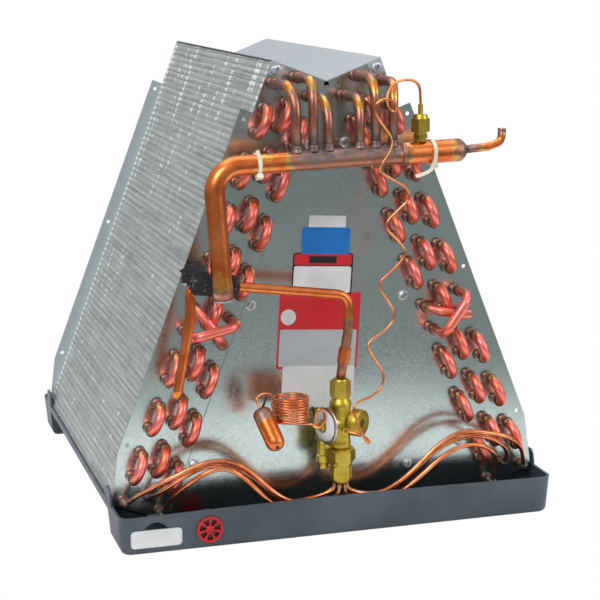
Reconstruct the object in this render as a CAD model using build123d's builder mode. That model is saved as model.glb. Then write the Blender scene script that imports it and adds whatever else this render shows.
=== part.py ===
"""A-coil evaporator: two leaning fin-and-tube slabs on a drain pan, with its headers and expansion valve.

X runs across the coil, Y from its piped front to its back and Z up. The origin is on the floor, under
the middle of the coil's overall footprint. Lengths are in millimetres and angles in degrees.
"""
from build123d import *
from math import atan2, cos, degrees, hypot, pi, radians, sin, tan
import os

os.makedirs("parts", exist_ok=True)

# ---- driving dimensions ----

# slabs
tube_pitch = 25.4            # along a row
row_pitch = 19.05            # from row to row
tubes_per_row = 18
tube_diameter = 9.53
lean = 21.3                  # of each slab from upright
fin_length = 414.3           # between the tube sheets
sheet_thickness = 1.2
ripple_pitch = 6.35
ripple_depth = 1.3
slab_foot_x = 220.9          # outer lower edge of the right slab
slab_foot_z = 37.2
coil_front_y = -186.8        # front face of the front tube sheets

# tube-sheet ears
ear_width = 12.7
ear_end_gap = 52.4           # from each end of the slab to the ear
ear_hole_diameter = 4.2
ear_hole_inset = 8.9
top_hole_inset = 6.9
top_hole_diameter = 3.6

# tube ends
bend_leg = 7.0
low_jumper_reach = 26.8
high_jumper_reach = 37.0
jumper_leg = 15.0

# centre plates and cap
plate_thickness = 1.2
plate_foot_z = 9.0
plate_top_gap = 4.0
lower_screw_x = 83.6
lower_screw_z = 51.7
cap_thickness = 1.0
tab_width = 15.0
tab_height = 13.0
screw_head_width = 8.0
screw_head_height = 3.6

# drain pan
pan_width = 448.6
pan_front_reach = 51.0       # in front of the coil
pan_rear_reach = 40.3        # behind the coil
pan_height = 38.0
pan_wall = 2.3
pan_floor = 3.0
pan_draft = 5.0
pan_corner_radius = 10.0
pan_foot_radius = 6.0
rim_arch = 3.0
channel_run_in = 15.0        # deep end channels reach this far under the coil
rib_height = 5.0
rib_thickness = 3.0
rib_count = 3
opening_clearance = 15.4        # from the ring round the opening to the slabs' inner feet
relief_depth = 20.0          # how far below the pan the cut under the slabs reaches
ring_height = 32.0
guide_length = 30.0
guide_height = 15.0
port_bore = 24.4
port_boss = 32.0
port_depth = 13.0
port_z = 20.4
primary_port_x = -188.5
secondary_port_x = -135.9
plug_flange = 26.0
plug_flange_height = 1.6
plug_pocket = 6.2
plug_pocket_depth = 4.0

# suction side
header_diameter = 19.05
header_corner = (-131.0, 68.8, 372.0)     # x, distance in front of the coil, z
header_end = (123.0, 46.2, 376.0)
outlet_end = (-122.5, 67.0, 248.0)
header_bend_radius = 24.0
sleeve_diameter = 22.2
sleeve_length = 66.0
header_tie_x = -88.0
sleeve_tie_x = 89.0
socket_depth = 8.0
stub_diameter = 8.0
feeder_leg_radius = 13.0

# liquid side
liquid_diameter = 9.53
liquid_reach = 44.0
foam_diameter = 26.0
foam_length = 48.0
coupling_diameter = 12.2
coupling_length = 15.0
valve_x = -1.5
valve_reach = 44.0
valve_turn = 20.0
valve_top = 157.7
distributor_tube_diameter = 4.76
capillary_diameter = 2.4
running_gap = 0.05

# ---- derived places ----

slab_length = tube_pitch * tubes_per_row
slab_thickness = row_pitch * 3
tube_radius = tube_diameter / 2
coil_depth = fin_length + 2 * sheet_thickness
coil_rear_y = coil_front_y + coil_depth
lean_sin = sin(radians(lean))
lean_cos = cos(radians(lean))
octagon_radius = tube_radius / cos(pi / 8)
hexagon_radius = tube_radius / cos(pi / 6)

# u runs up the slab from its foot, v inward from its outer face, and z out of the plane
front_slab = Plane(
    origin=(slab_foot_x, coil_front_y, slab_foot_z),
    x_dir=(-lean_sin, 0, lean_cos),
    z_dir=(0, -1, 0),
)
rear_slab = Plane(
    origin=(slab_foot_x, coil_rear_y, slab_foot_z),
    x_dir=(-lean_sin, 0, lean_cos),
    z_dir=(0, -1, 0),
)


def slab_xz(u, v):
    """Where a point of the right slab lies across and up."""
    return (
        slab_foot_x - u * lean_sin - v * lean_cos,
        slab_foot_z + u * lean_cos - v * lean_sin,
    )


def tube_uv(row, index):
    """Centre of a tube: row 0 is the outer one, index 0 the top tube. The middle row stands half a pitch up."""
    drop = tube_pitch / 4 if row == 1 else 3 * tube_pitch / 4
    return (slab_length - index * tube_pitch - drop, row_pitch * (row + 0.5))


def ahead(x, reach, z):
    """A point at some distance in front of the coil's front face."""
    return (x, coil_front_y - reach, z)


def header_point(x):
    """Centre of the suction header at x."""
    share = (x - header_corner[0]) / (header_end[0] - header_corner[0])
    return tuple(a + share * (b - a) for a, b in zip(header_corner, header_end))


def mitred_tube(points, radius, sides):
    """A tube of straight runs with mitred corners, which keeps a repeated bend light."""
    path = Wire(Polyline(*points).edges())
    section = Plane(origin=path @ 0, z_dir=path % 0) * RegularPolygon(radius, sides)
    return sweep(section, path=path, transition=Transition.RIGHT, mode=Mode.PRIVATE)


def bent_tube(points, radius, bend):
    """A round tube of straight runs joined by tangent arcs."""
    path = Wire(FilletPolyline(*points, radius=bend).edges())
    section = Plane(origin=path @ 0, z_dir=path % 0) * Circle(radius)
    return sweep(section, path=path, mode=Mode.PRIVATE)


def u_points(leg, chords):
    """A return bend between two neighbouring tubes, its legs along +Z."""
    half = tube_pitch / 2
    steps = [pi - pi * i / chords for i in range(1, chords)]
    arc = [(half * cos(a), 0, leg + half * sin(a)) for a in steps]
    return [(-half, 0, 0), (-half, 0, leg), *arc, (half, 0, leg), (half, 0, 0)]


def write(piece, name):
    piece.part.label = name
    export_step(piece.part, f"parts/{name}.step")


# ---- fin packs ----
# each pack is the rippled fins with their expanded tubes, as one block

with BuildPart(rear_slab.offset(sheet_thickness)) as right_fin_pack:
    with BuildSketch(rear_slab.offset(sheet_thickness)):
        with BuildLine():
            half_ripples = round(2 * slab_length / ripple_pitch)
            step = slab_length / half_ripples
            outer = [(i * step, ripple_depth * (i % 2)) for i in range(half_ripples + 1)]
            inner = [(u, slab_thickness - v) for u, v in reversed(outer)]
            Polyline(*outer, *inner, close=True)
        make_face()
    extrude(amount=fin_length)
write(right_fin_pack, "right_fin_pack")

with BuildPart() as left_fin_pack:
    mirror(right_fin_pack.part, about=Plane.YZ)
write(left_fin_pack, "left_fin_pack")

# ---- tube sheets ----

ear_hole_us = (ear_end_gap + ear_hole_inset, slab_length / 2, slab_length - ear_end_gap - ear_hole_inset)


def tube_sheet(plane):
    """A flat sheet as deep as the slab, with an ear along each edge and slanted lower ends."""
    with BuildPart(plane, mode=Mode.PRIVATE) as sheet:
        with BuildSketch(plane):
            with BuildLine():
                Polyline(
                    (0, 0),
                    (ear_end_gap, -ear_width),
                    (slab_length - ear_end_gap, -ear_width),
                    (slab_length - ear_end_gap, 0),
                    (slab_length, 0),
                    (slab_length, slab_thickness),
                    (slab_length - ear_end_gap, slab_thickness),
                    (slab_length - ear_end_gap, slab_thickness + ear_width),
                    (ear_end_gap, slab_thickness + ear_width),
                    (0, slab_thickness),
                    close=True,
                )
            make_face()
            with Locations(*[(u, -ear_width / 2) for u in ear_hole_us]):
                Circle(ear_hole_diameter / 2, mode=Mode.SUBTRACT)
            with Locations((slab_length - top_hole_inset, slab_thickness - row_pitch / 2)):
                Circle(top_hole_diameter / 2, mode=Mode.SUBTRACT)
        extrude(amount=sheet_thickness)
    return sheet.part


front_sheet = tube_sheet(front_slab.offset(-sheet_thickness))
rear_sheet = tube_sheet(rear_slab)

with BuildPart() as right_front_tube_sheet:
    add(front_sheet)
write(right_front_tube_sheet, "right_front_tube_sheet")

with BuildPart() as left_front_tube_sheet:
    mirror(right_front_tube_sheet.part, about=Plane.YZ)
write(left_front_tube_sheet, "left_front_tube_sheet")

with BuildPart() as right_rear_tube_sheet:
    add(rear_sheet)
write(right_rear_tube_sheet, "right_rear_tube_sheet")

with BuildPart() as left_rear_tube_sheet:
    mirror(right_rear_tube_sheet.part, about=Plane.YZ)
write(left_rear_tube_sheet, "left_rear_tube_sheet")

# ---- centre plates, which close the two ends of the A ----

plate_top_u = slab_length - plate_top_gap / lean_cos
plate_foot_x = slab_xz(0, slab_thickness)[0]


def centre_plate(plane):
    """The triangular plate between the slabs' inner faces, screwed to their inner ears."""
    with BuildPart(plane, mode=Mode.PRIVATE) as plate:
        with BuildSketch(plane):
            with BuildLine():
                top = slab_xz(plate_top_u, slab_thickness)
                shoulder = slab_xz(0, slab_thickness)
                Polyline(
                    (plate_foot_x, plate_foot_z),
                    shoulder,
                    top,
                    (-top[0], top[1]),
                    (-shoulder[0], shoulder[1]),
                    (-plate_foot_x, plate_foot_z),
                    close=True,
                )
            make_face()
        extrude(amount=plate_thickness)
    return plate.part


front_face = Plane(origin=(0, coil_front_y, 0), x_dir=(1, 0, 0), z_dir=(0, -1, 0))
rear_face = Plane(origin=(0, coil_rear_y, 0), x_dir=(1, 0, 0), z_dir=(0, -1, 0))

front_plate = centre_plate(front_face)
rear_plate = centre_plate(rear_face.offset(-plate_thickness))

with BuildPart() as front_centre_plate:
    add(front_plate)
write(front_centre_plate, "front_centre_plate")

with BuildPart() as rear_centre_plate:
    add(rear_plate)
write(rear_centre_plate, "rear_centre_plate")

# ---- top cap: one sheet folded to a shallow V over both slabs, with a tab at each corner ----

cap_outer = slab_xz(slab_length, 0)
cap_inner = slab_xz(slab_length, slab_thickness)
valley_z = cap_inner[1] - cap_inner[0] * tan(radians(lean))
lift = cap_thickness / lean_cos
cap_depth = coil_depth + 2 * cap_thickness

with BuildPart() as top_cap:
    with BuildSketch(rear_face.offset(-cap_thickness)):
        with BuildLine():
            Polyline(
                (cap_outer[0], cap_outer[1]),
                (0, valley_z),
                (-cap_outer[0], cap_outer[1]),
                (-cap_outer[0] - cap_thickness * lean_sin, cap_outer[1] + cap_thickness * lean_cos),
                (0, valley_z + lift),
                (cap_outer[0] + cap_thickness * lean_sin, cap_outer[1] + cap_thickness * lean_cos),
                close=True,
            )
        make_face()
    extrude(amount=cap_depth)
    for corner_plane in (front_slab, rear_slab.offset(-cap_thickness)):
        with BuildSketch(corner_plane) as tab:
            with Locations((slab_length - tab_height / 2, tab_width / 2)):
                Rectangle(tab_height, tab_width)
        extrude(amount=cap_thickness)
    mirror(about=Plane.YZ)
write(top_cap, "top_cap")

# ---- return bends at the front ----
# the three circuits of each slab leave these neighbouring pairs joined, from the top down

outer_pairs = (1, 3, 5, 7, 11, 13, 15)
middle_pairs = (1, 3, 5, 7, 9, 11, 13, 15)


def pair_places(row, pairs, sign=1):
    """Middles of the bends that join tube i to tube i + 1 of one row."""
    return [(tube_uv(row, i)[0] - tube_pitch / 2, sign * tube_uv(row, i)[1]) for i in pairs]


return_bend = mitred_tube(u_points(bend_leg, 4), octagon_radius, 8)
front_places = [
    place
    for row, pairs in ((0, outer_pairs), (1, middle_pairs), (2, outer_pairs))
    for place in pair_places(row, pairs)
]

with BuildPart(front_slab) as right_return_bends:
    with Locations(*front_places):
        add(return_bend)
write(right_return_bends, "right_return_bends")

with BuildPart() as left_return_bends:
    mirror(right_return_bends.part, about=Plane.YZ)
write(left_return_bends, "left_return_bends")

# ---- hairpin ends at the back: the tubes turn round in neighbouring pairs ----

hairpin = mitred_tube(u_points(bend_leg, 3), hexagon_radius, 6)
rear_outward = Plane(origin=rear_slab.origin, x_dir=rear_slab.x_dir, z_dir=(0, 1, 0))
rear_pairs = range(0, tubes_per_row, 2)
rear_places = [place for row in range(3) for place in pair_places(row, rear_pairs, -1)]

with BuildPart(rear_outward) as right_hairpin_ends:
    with Locations(*rear_places):
        add(hairpin)
write(right_hairpin_ends, "right_hairpin_ends")

with BuildPart() as left_hairpin_ends:
    mirror(right_hairpin_ends.part, about=Plane.YZ)
write(left_hairpin_ends, "left_hairpin_ends")

# ---- jumpers, which cross from the outer row to the inner row and back ----


def jumper_points(start, end, reach):
    """A jumper between two tubes, in slab coordinates: straight legs and a run that clears what it crosses."""
    (u0, v0), (u1, v1) = tube_uv(*start), tube_uv(*end)
    middle = ((u0 + u1) / 2, (v0 + v1) / 2)
    if reach > low_jumper_reach:
        return [
            (u0, v0, 0),
            (u0, v0, reach - 9),
            (u0 + (u1 - u0) * 0.16, v0 + (v1 - v0) * 0.16, reach),
            (u1 - (u1 - u0) * 0.16, v1 - (v1 - v0) * 0.16, reach),
            (u1, v1, reach - 9),
            (u1, v1, 0),
        ]
    return [
        (u0, v0, 0),
        (u0, v0, jumper_leg - 4),
        (u0 + (u1 - u0) * 0.22, v0 + (v1 - v0) * 0.22, reach - 2),
        (*middle, reach),
        (u1 - (u1 - u0) * 0.22, v1 - (v1 - v0) * 0.22, reach - 2),
        (u1, v1, jumper_leg - 4),
        (u1, v1, 0),
    ]


outer_down = ((0, 9), (2, 10))
inner_down = ((2, 9), (0, 10))


def jumper(ends, reach):
    """A jumper seated on the right slab's front."""
    tube = mitred_tube(jumper_points(*ends, reach), octagon_radius, 8)
    return front_slab.location * tube


right_high_tube = jumper(outer_down, high_jumper_reach)
right_low_tube = jumper(inner_down, low_jumper_reach)
left_high_tube = jumper(inner_down, high_jumper_reach)
left_low_tube = jumper(outer_down, low_jumper_reach)

with BuildPart() as right_high_jumper:
    add(right_high_tube)
write(right_high_jumper, "right_high_jumper")

with BuildPart() as right_low_jumper:
    add(right_low_tube)
write(right_low_jumper, "right_low_jumper")

with BuildPart() as left_high_jumper:
    mirror(left_high_tube, about=Plane.YZ)
write(left_high_jumper, "left_high_jumper")

with BuildPart() as left_low_jumper:
    mirror(left_low_tube, about=Plane.YZ)
write(left_low_jumper, "left_low_jumper")

# ---- suction header ----

run_end = header_point(header_end[0] - sleeve_length + socket_depth - 0.2)
header_tube = bent_tube(
    [ahead(*outlet_end), ahead(*header_corner), ahead(*run_end)],
    header_diameter / 2,
    header_bend_radius,
)
with BuildPart() as suction_header:
    add(header_tube)
write(suction_header, "suction_header")

header_vector = Vector(*ahead(*header_end)) - Vector(*ahead(*header_corner))
header_turn = degrees(atan2(header_vector.Y, header_vector.X))
sleeve_plane = Plane(
    origin=ahead(*header_point(header_end[0] - sleeve_length)),
    x_dir=(0, 0, 1),
    z_dir=header_vector.normalized(),
)
with BuildPart(sleeve_plane) as header_sleeve:
    with BuildSketch(sleeve_plane):
        Circle(sleeve_diameter / 2)
    extrude(amount=sleeve_length)
    with BuildSketch(sleeve_plane):
        Circle(header_diameter / 2 + running_gap)
    extrude(amount=socket_depth, mode=Mode.SUBTRACT)
    chamfer(header_sleeve.edges().filter_by(GeomType.CIRCLE).sort_by(Axis.X)[-1], 1.5)
write(header_sleeve, "header_sleeve")

stub_tube = mitred_tube(
    [
        ahead(*header_end),
        ahead(header_end[0] + 27, header_end[1] - 2, header_end[2] + 1.5),
        ahead(header_end[0] + 41, header_end[1] - 3, header_end[2] + 7),
        ahead(header_end[0] + 42, header_end[1] - 3, header_end[2] + 18),
    ],
    stub_diameter / 2,
    10,
)
with BuildPart() as process_stub:
    add(stub_tube)
write(process_stub, "process_stub")

# ---- feeders from each circuit's top tube into the header ----


def feeder(side, row, entry_x):
    """A short tube from a top tube outlet, out and down into the top of the header."""
    x, z = slab_xz(*tube_uv(row, 0))
    foot = header_point(entry_x)
    foot_z = foot[2] + header_diameter / 2 - 1.0
    points = [
        ahead(side * x, 0, z),
        ahead(side * x, foot[1] * 0.62, z),
        ahead(side * x * 0.3 + entry_x * 0.7, foot[1] * 0.96, z - 17),
        ahead(entry_x, foot[1], foot_z),
    ]
    return mitred_tube(points, octagon_radius, 8) - Plane(
        origin=ahead(*header_point(entry_x - 20)), z_dir=header_vector.normalized()
    ) * Cylinder(
        header_diameter / 2, 40, align=(Align.CENTER, Align.CENTER, Align.MIN)
    )


feeder_entries = {
    "left_outer_feeder": (-1, 0, -48),
    "left_middle_feeder": (-1, 1, -32),
    "left_inner_feeder": (-1, 2, -16.5),
    "right_inner_feeder": (1, 2, 15),
    "right_middle_feeder": (1, 1, 31.5),
    "right_outer_feeder": (1, 0, 49),
}
for feeder_name, entry in feeder_entries.items():
    feeder_solid = feeder(*entry)
    with BuildPart() as feeder_tube:
        add(feeder_solid)
    write(feeder_tube, feeder_name)

# ---- drain pan ----

pan_front_y = coil_front_y - pan_front_reach
pan_rear_y = coil_rear_y + pan_rear_reach
pan_length = pan_rear_y - pan_front_y
pan_middle_y = (pan_front_y + pan_rear_y) / 2
draft_run = (pan_height + rim_arch) * tan(radians(pan_draft))
relief_front_y = coil_front_y + channel_run_in
relief_rear_y = coil_rear_y - channel_run_in
relief_length = relief_rear_y - relief_front_y
relief_middle_y = (relief_front_y + relief_rear_y) / 2
across_back = Plane(origin=(0, relief_rear_y, 0), x_dir=(1, 0, 0), z_dir=(0, -1, 0))
ring_inside_x = slab_xz(0, slab_thickness)[0] - opening_clearance
air_opening_half_width = ring_inside_x - pan_wall


def under_slab(x, gap):
    """Height of a line parallel to the slab's sloping foot, some gap below it."""
    return slab_foot_z + (x - slab_foot_x) * tan(radians(lean)) - gap / lean_cos


def channel_pocket(y0, y1):
    """The hollow of a deep end channel."""
    with BuildPart(mode=Mode.PRIVATE) as pocket:
        with BuildSketch(Plane.XY.offset(pan_floor)):
            with Locations((0, (y0 + y1) / 2)):
                RectangleRounded(
                    pan_width - 2 * (draft_run + pan_wall), y1 - y0, pan_corner_radius - pan_wall
                )
        extrude(amount=pan_height + 2 * rim_arch, taper=-pan_draft)
    return pocket.part


front_channel = channel_pocket(pan_front_y + draft_run + pan_wall, relief_front_y - pan_wall)
rear_channel = channel_pocket(relief_rear_y + pan_wall, pan_rear_y - draft_run - pan_wall)

with BuildPart() as drain_pan:
    with BuildSketch(Plane.XY):
        with Locations((0, pan_middle_y)):
            RectangleRounded(
                pan_width - 2 * draft_run, pan_length - 2 * draft_run, pan_corner_radius
            )
    extrude(amount=pan_height + rim_arch, taper=-pan_draft)
    fillet(drain_pan.faces().sort_by(Axis.Z)[0].edges(), pan_foot_radius)
    # the long sides are raised: their channels slope inward under the slabs
    with BuildSketch(across_back):
        for side in (1, -1):
            with BuildLine():
                edge = pan_width / 2 + 1
                Polyline(
                    (side * edge, -relief_depth),
                    (side * edge, under_slab(edge, rib_height + pan_floor)),
                    (
                        side * air_opening_half_width,
                        under_slab(air_opening_half_width, rib_height + pan_floor),
                    ),
                    (side * air_opening_half_width, -relief_depth),
                    close=True,
                )
            make_face()
    extrude(amount=relief_length, mode=Mode.SUBTRACT)
    # air opening
    with BuildSketch(Plane.XY):
        with Locations((0, relief_middle_y)):
            Rectangle(2 * air_opening_half_width, relief_length)
    extrude(amount=pan_height + rim_arch, mode=Mode.SUBTRACT)
    # channels all round
    add(front_channel, mode=Mode.SUBTRACT)
    add(rear_channel, mode=Mode.SUBTRACT)
    with BuildSketch(across_back.offset(-channel_run_in - pan_wall)):
        for side in (1, -1):
            with BuildLine():
                top_z = pan_height + 2 * rim_arch
                wall_x = pan_width / 2 - pan_wall
                Polyline(
                    (side * wall_x, top_z),
                    (side * (wall_x - 0.4), under_slab(wall_x - 0.4, rib_height)),
                    (side * ring_inside_x, under_slab(ring_inside_x, rib_height)),
                    (side * ring_inside_x, top_z),
                    close=True,
                )
            make_face()
    extrude(amount=relief_length + 2 * (channel_run_in + pan_wall), mode=Mode.SUBTRACT)
    # the ring round the air opening is lower than the rim
    with BuildSketch(Plane.XY.offset(ring_height)):
        with Locations((0, relief_middle_y)):
            Rectangle(2 * ring_inside_x + 1, relief_length + 2 * pan_wall + 1)
    extrude(amount=pan_height, mode=Mode.SUBTRACT)
    # the rim rises a little towards the middle of each end
    with BuildSketch(Plane(origin=(0, pan_rear_y + 1, 0), x_dir=(1, 0, 0), z_dir=(0, -1, 0))):
        with BuildLine():
            half = pan_width / 2 + 2
            ThreePointArc((-half, pan_height), (0, pan_height + rim_arch), (half, pan_height))
            Polyline(
                (half, pan_height), (half, 2 * pan_height), (-half, 2 * pan_height), (-half, pan_height)
            )
        make_face()
    extrude(amount=pan_length + 2, mode=Mode.SUBTRACT)
    # ribs that carry the slabs
    for i in range(rib_count):
        rib_y = relief_front_y + relief_length * (i + 0.5) / rib_count
        with BuildSketch(Plane(origin=(0, rib_y + rib_thickness / 2, 0), x_dir=(1, 0, 0), z_dir=(0, -1, 0))):
            for side in (1, -1):
                with BuildLine():
                    inner_x = slab_xz(0, slab_thickness)[0]
                    Polyline(
                        (side * slab_foot_x, under_slab(slab_foot_x, rib_height + 1)),
                        (side * slab_foot_x, slab_foot_z),
                        (side * inner_x, under_slab(inner_x, 0)),
                        (side * inner_x, under_slab(inner_x, rib_height + 1)),
                        close=True,
                    )
                make_face()
        extrude(amount=rib_thickness)
    # upstands on the side rims that locate the slabs' corners
    for guide_y in (coil_front_y + guide_length / 3, coil_rear_y - guide_length / 3):
        with BuildSketch(Plane(origin=(pan_width / 2 - pan_wall, guide_y, 0), x_dir=(0, 1, 0), z_dir=(1, 0, 0))):
            with BuildLine():
                Polyline(
                    (-guide_length / 2, pan_height - 2),
                    (-guide_length / 2 + 3, pan_height + guide_height - 4),
                    (-guide_length / 2 + 8, pan_height + guide_height),
                    (guide_length / 2 - 8, pan_height + guide_height),
                    (guide_length / 2 - 3, pan_height + guide_height - 4),
                    (guide_length / 2, pan_height - 2),
                    close=True,
                )
            make_face()
        extrude(amount=pan_wall - 0.4)
        with BuildSketch(Plane(origin=(-pan_width / 2 + 0.4, guide_y, 0), x_dir=(0, 1, 0), z_dir=(1, 0, 0))):
            with BuildLine():
                Polyline(
                    (-guide_length / 2, pan_height - 2),
                    (-guide_length / 2 + 3, pan_height + guide_height - 4),
                    (-guide_length / 2 + 8, pan_height + guide_height),
                    (guide_length / 2 - 8, pan_height + guide_height),
                    (guide_length / 2 - 3, pan_height + guide_height - 4),
                    (guide_length / 2, pan_height - 2),
                    close=True,
                )
            make_face()
        extrude(amount=pan_wall - 0.4)
    # drain ports
    port_wall_y = pan_front_y + (pan_height - port_z) * tan(radians(pan_draft))
    port_plane = Plane(origin=(0, port_wall_y + 0.5, port_z), x_dir=(1, 0, 0), z_dir=(0, -1, 0))
    with BuildSketch(port_plane):
        with Locations((primary_port_x, 0), (secondary_port_x, 0)):
            Circle(port_boss / 2)
    extrude(amount=-port_depth)
    with BuildSketch(port_plane.offset(3)):
        with Locations((primary_port_x, 0), (secondary_port_x, 0)):
            Circle(port_bore / 2)
    extrude(amount=-port_depth - 6, mode=Mode.SUBTRACT)
write(drain_pan, "drain_pan")

plug_plane = port_plane.offset(1.6)
with BuildPart(plug_plane) as secondary_drain_plug:
    with BuildSketch(plug_plane):
        with Locations((secondary_port_x, 0)):
            Circle(plug_flange / 2)
    extrude(amount=plug_flange_height)
    with BuildSketch(plug_plane):
        with Locations((secondary_port_x, 0)):
            Circle(port_bore / 2 - running_gap)
    extrude(amount=-port_depth)
    with BuildSketch(plug_plane.offset(plug_flange_height)):
        with Locations((secondary_port_x, 0)):
            RegularPolygon(plug_pocket / 2 + 0.9, 6)
            with PolarLocations(plug_flange * 0.33, 6, start_angle=15):
                RegularPolygon(plug_pocket / 2, 8)
    extrude(amount=-plug_pocket_depth, mode=Mode.SUBTRACT)
write(secondary_drain_plug, "secondary_drain_plug")

# ---- liquid line ----

liquid_tip = (-164.0, 44.0, 151.0)
liquid_drop = (-148.5, 44.0, 232.0)
liquid_left = (-150.5, 44.0, 261.5)
liquid_right = (8.5, 44.0, 239.5)
liquid_fall = (6.5, 44.5, 205.0)
liquid_foot = (valve_x + 0.5, valve_reach - 0.5, valve_top + 0.85)

liquid_tube = bent_tube(
    [
        ahead(*liquid_tip),
        ahead(*liquid_drop),
        ahead(*liquid_left),
        ahead(*liquid_right),
        ahead(*liquid_fall),
        ahead(*liquid_foot),
    ],
    liquid_diameter / 2,
    [60, 12, 14, 60],
)
with BuildPart() as liquid_line:
    add(liquid_tube)
write(liquid_line, "liquid_line")


def collar(start, end, share, length, outer, bore):
    """A ring round a straight run, centred part of the way along it."""
    a, b = Vector(*ahead(*start)), Vector(*ahead(*end))
    along = (b - a).normalized()
    plane = Plane(origin=a + (b - a) * share - along * (length / 2), z_dir=along)
    with BuildPart(plane, mode=Mode.PRIVATE) as ring:
        with BuildSketch(plane):
            Circle(outer / 2)
            Circle(bore / 2 + running_gap, mode=Mode.SUBTRACT)
        extrude(amount=length)
    return ring.part


liquid_coupling_ring = collar(liquid_fall, liquid_foot, 0.53, coupling_length, coupling_diameter, liquid_diameter)
with BuildPart() as liquid_coupling:
    add(liquid_coupling_ring)
write(liquid_coupling, "liquid_coupling")

foam_tape_ring = collar(liquid_left, liquid_right, 0.19, foam_length - 16, foam_diameter, liquid_diameter)
with BuildPart() as foam_tape:
    add(foam_tape_ring)
write(foam_tape, "foam_tape")

# ---- expansion valve ----


def valve_plane(z):
    return Plane(origin=ahead(valve_x, valve_reach, z))


body_top, body_foot = 137.0, 92.0
lower_hex_top, lower_hex_foot = 88.4, 74.0
nut_foot, distributor_foot = 58.0, 52.0
axis_turn = Vector(cos(radians(valve_turn)), sin(radians(valve_turn)), 0)
side_axis_z = 113.5
service_port_z = 109.0

with BuildPart() as valve_body:
    with BuildSketch(valve_plane(lower_hex_top)):
        Circle(8.0)
    extrude(amount=body_top - lower_hex_top)
    with BuildSketch(valve_plane(body_foot)):
        Circle(9.8)
    extrude(amount=body_top - 6 - body_foot)
    with BuildSketch(valve_plane(lower_hex_foot)):
        RegularPolygon(11.5, 6, major_radius=False)
    extrude(amount=lower_hex_top - lower_hex_foot)
    with BuildSketch(Plane(origin=ahead(valve_x, valve_reach, side_axis_z), z_dir=axis_turn)):
        Circle(8.0)
    extrude(amount=14, both=True)
    with BuildSketch(Plane(origin=ahead(valve_x, valve_reach, service_port_z), z_dir=(0, -1, 0))):
        Circle(2.8)
    extrude(amount=14)
write(valve_body, "valve_body")

with BuildPart() as valve_inlet_nut:
    with BuildSketch(valve_plane(body_top)):
        RegularPolygon(9.0, 6, major_radius=False)
    extrude(amount=valve_top - body_top)
write(valve_inlet_nut, "valve_inlet_nut")

cap_plane = Plane(origin=Vector(*ahead(valve_x, valve_reach, side_axis_z)) + axis_turn * 14, z_dir=axis_turn)
with BuildPart(cap_plane) as valve_side_cap:
    with BuildSketch(cap_plane):
        RegularPolygon(11.5, 6, major_radius=False)
    extrude(amount=9.0)
    with BuildSketch(cap_plane.offset(9.0)):
        Circle(10.5)
    extrude(amount=2.0, taper=30)
write(valve_side_cap, "valve_side_cap")

head_plane = Plane(
    origin=Vector(*ahead(valve_x, valve_reach, side_axis_z)) - axis_turn * 14, z_dir=axis_turn * -1
)
with BuildPart() as power_head:
    with BuildSketch(Plane(origin=head_plane.origin, x_dir=(0, 0, 1), z_dir=Vector(0, 0, 1).cross(axis_turn))):
        with BuildLine():
            Polyline((0, 0), (9.0, 0), (18.7, -3.2), (18.7, -4.4), (8.0, -8.6), (3.0, -8.6), (3.0, -12.0), (0, -12.0), close=True)
        make_face()
    revolve(axis=Axis(head_plane.origin, axis_turn))
write(power_head, "power_head")

with BuildPart() as valve_outlet_nut:
    with BuildSketch(valve_plane(nut_foot)):
        RegularPolygon(9.0, 6, major_radius=False)
    extrude(amount=lower_hex_foot - nut_foot)
write(valve_outlet_nut, "valve_outlet_nut")

with BuildPart() as distributor:
    with BuildSketch(valve_plane(distributor_foot)):
        Circle(9.0)
    extrude(amount=nut_foot - distributor_foot)
write(distributor, "distributor")

# ---- distributor tubes, one to each circuit's bottom tube ----

tube_ring = 6.0


def distributor_exit(index):
    """Where a tube leaves the distributor: six evenly round its foot."""
    turn = radians(60 * index)
    return (valve_x + tube_ring * cos(turn), valve_reach - tube_ring * sin(turn), distributor_foot)


def distributor_tube(side, row, index, middle):
    """From the distributor's foot, along the points given, to a bottom tube's stub."""
    x, z = slab_xz(*tube_uv(row, tubes_per_row - 1))
    start = distributor_exit(index)
    points = [start, (start[0], start[1], start[2] - 3), *middle, (side * x, 9.0, z)]
    return mitred_tube([ahead(*p) for p in points], distributor_tube_diameter / 2 / cos(pi / 6), 6)


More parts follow.
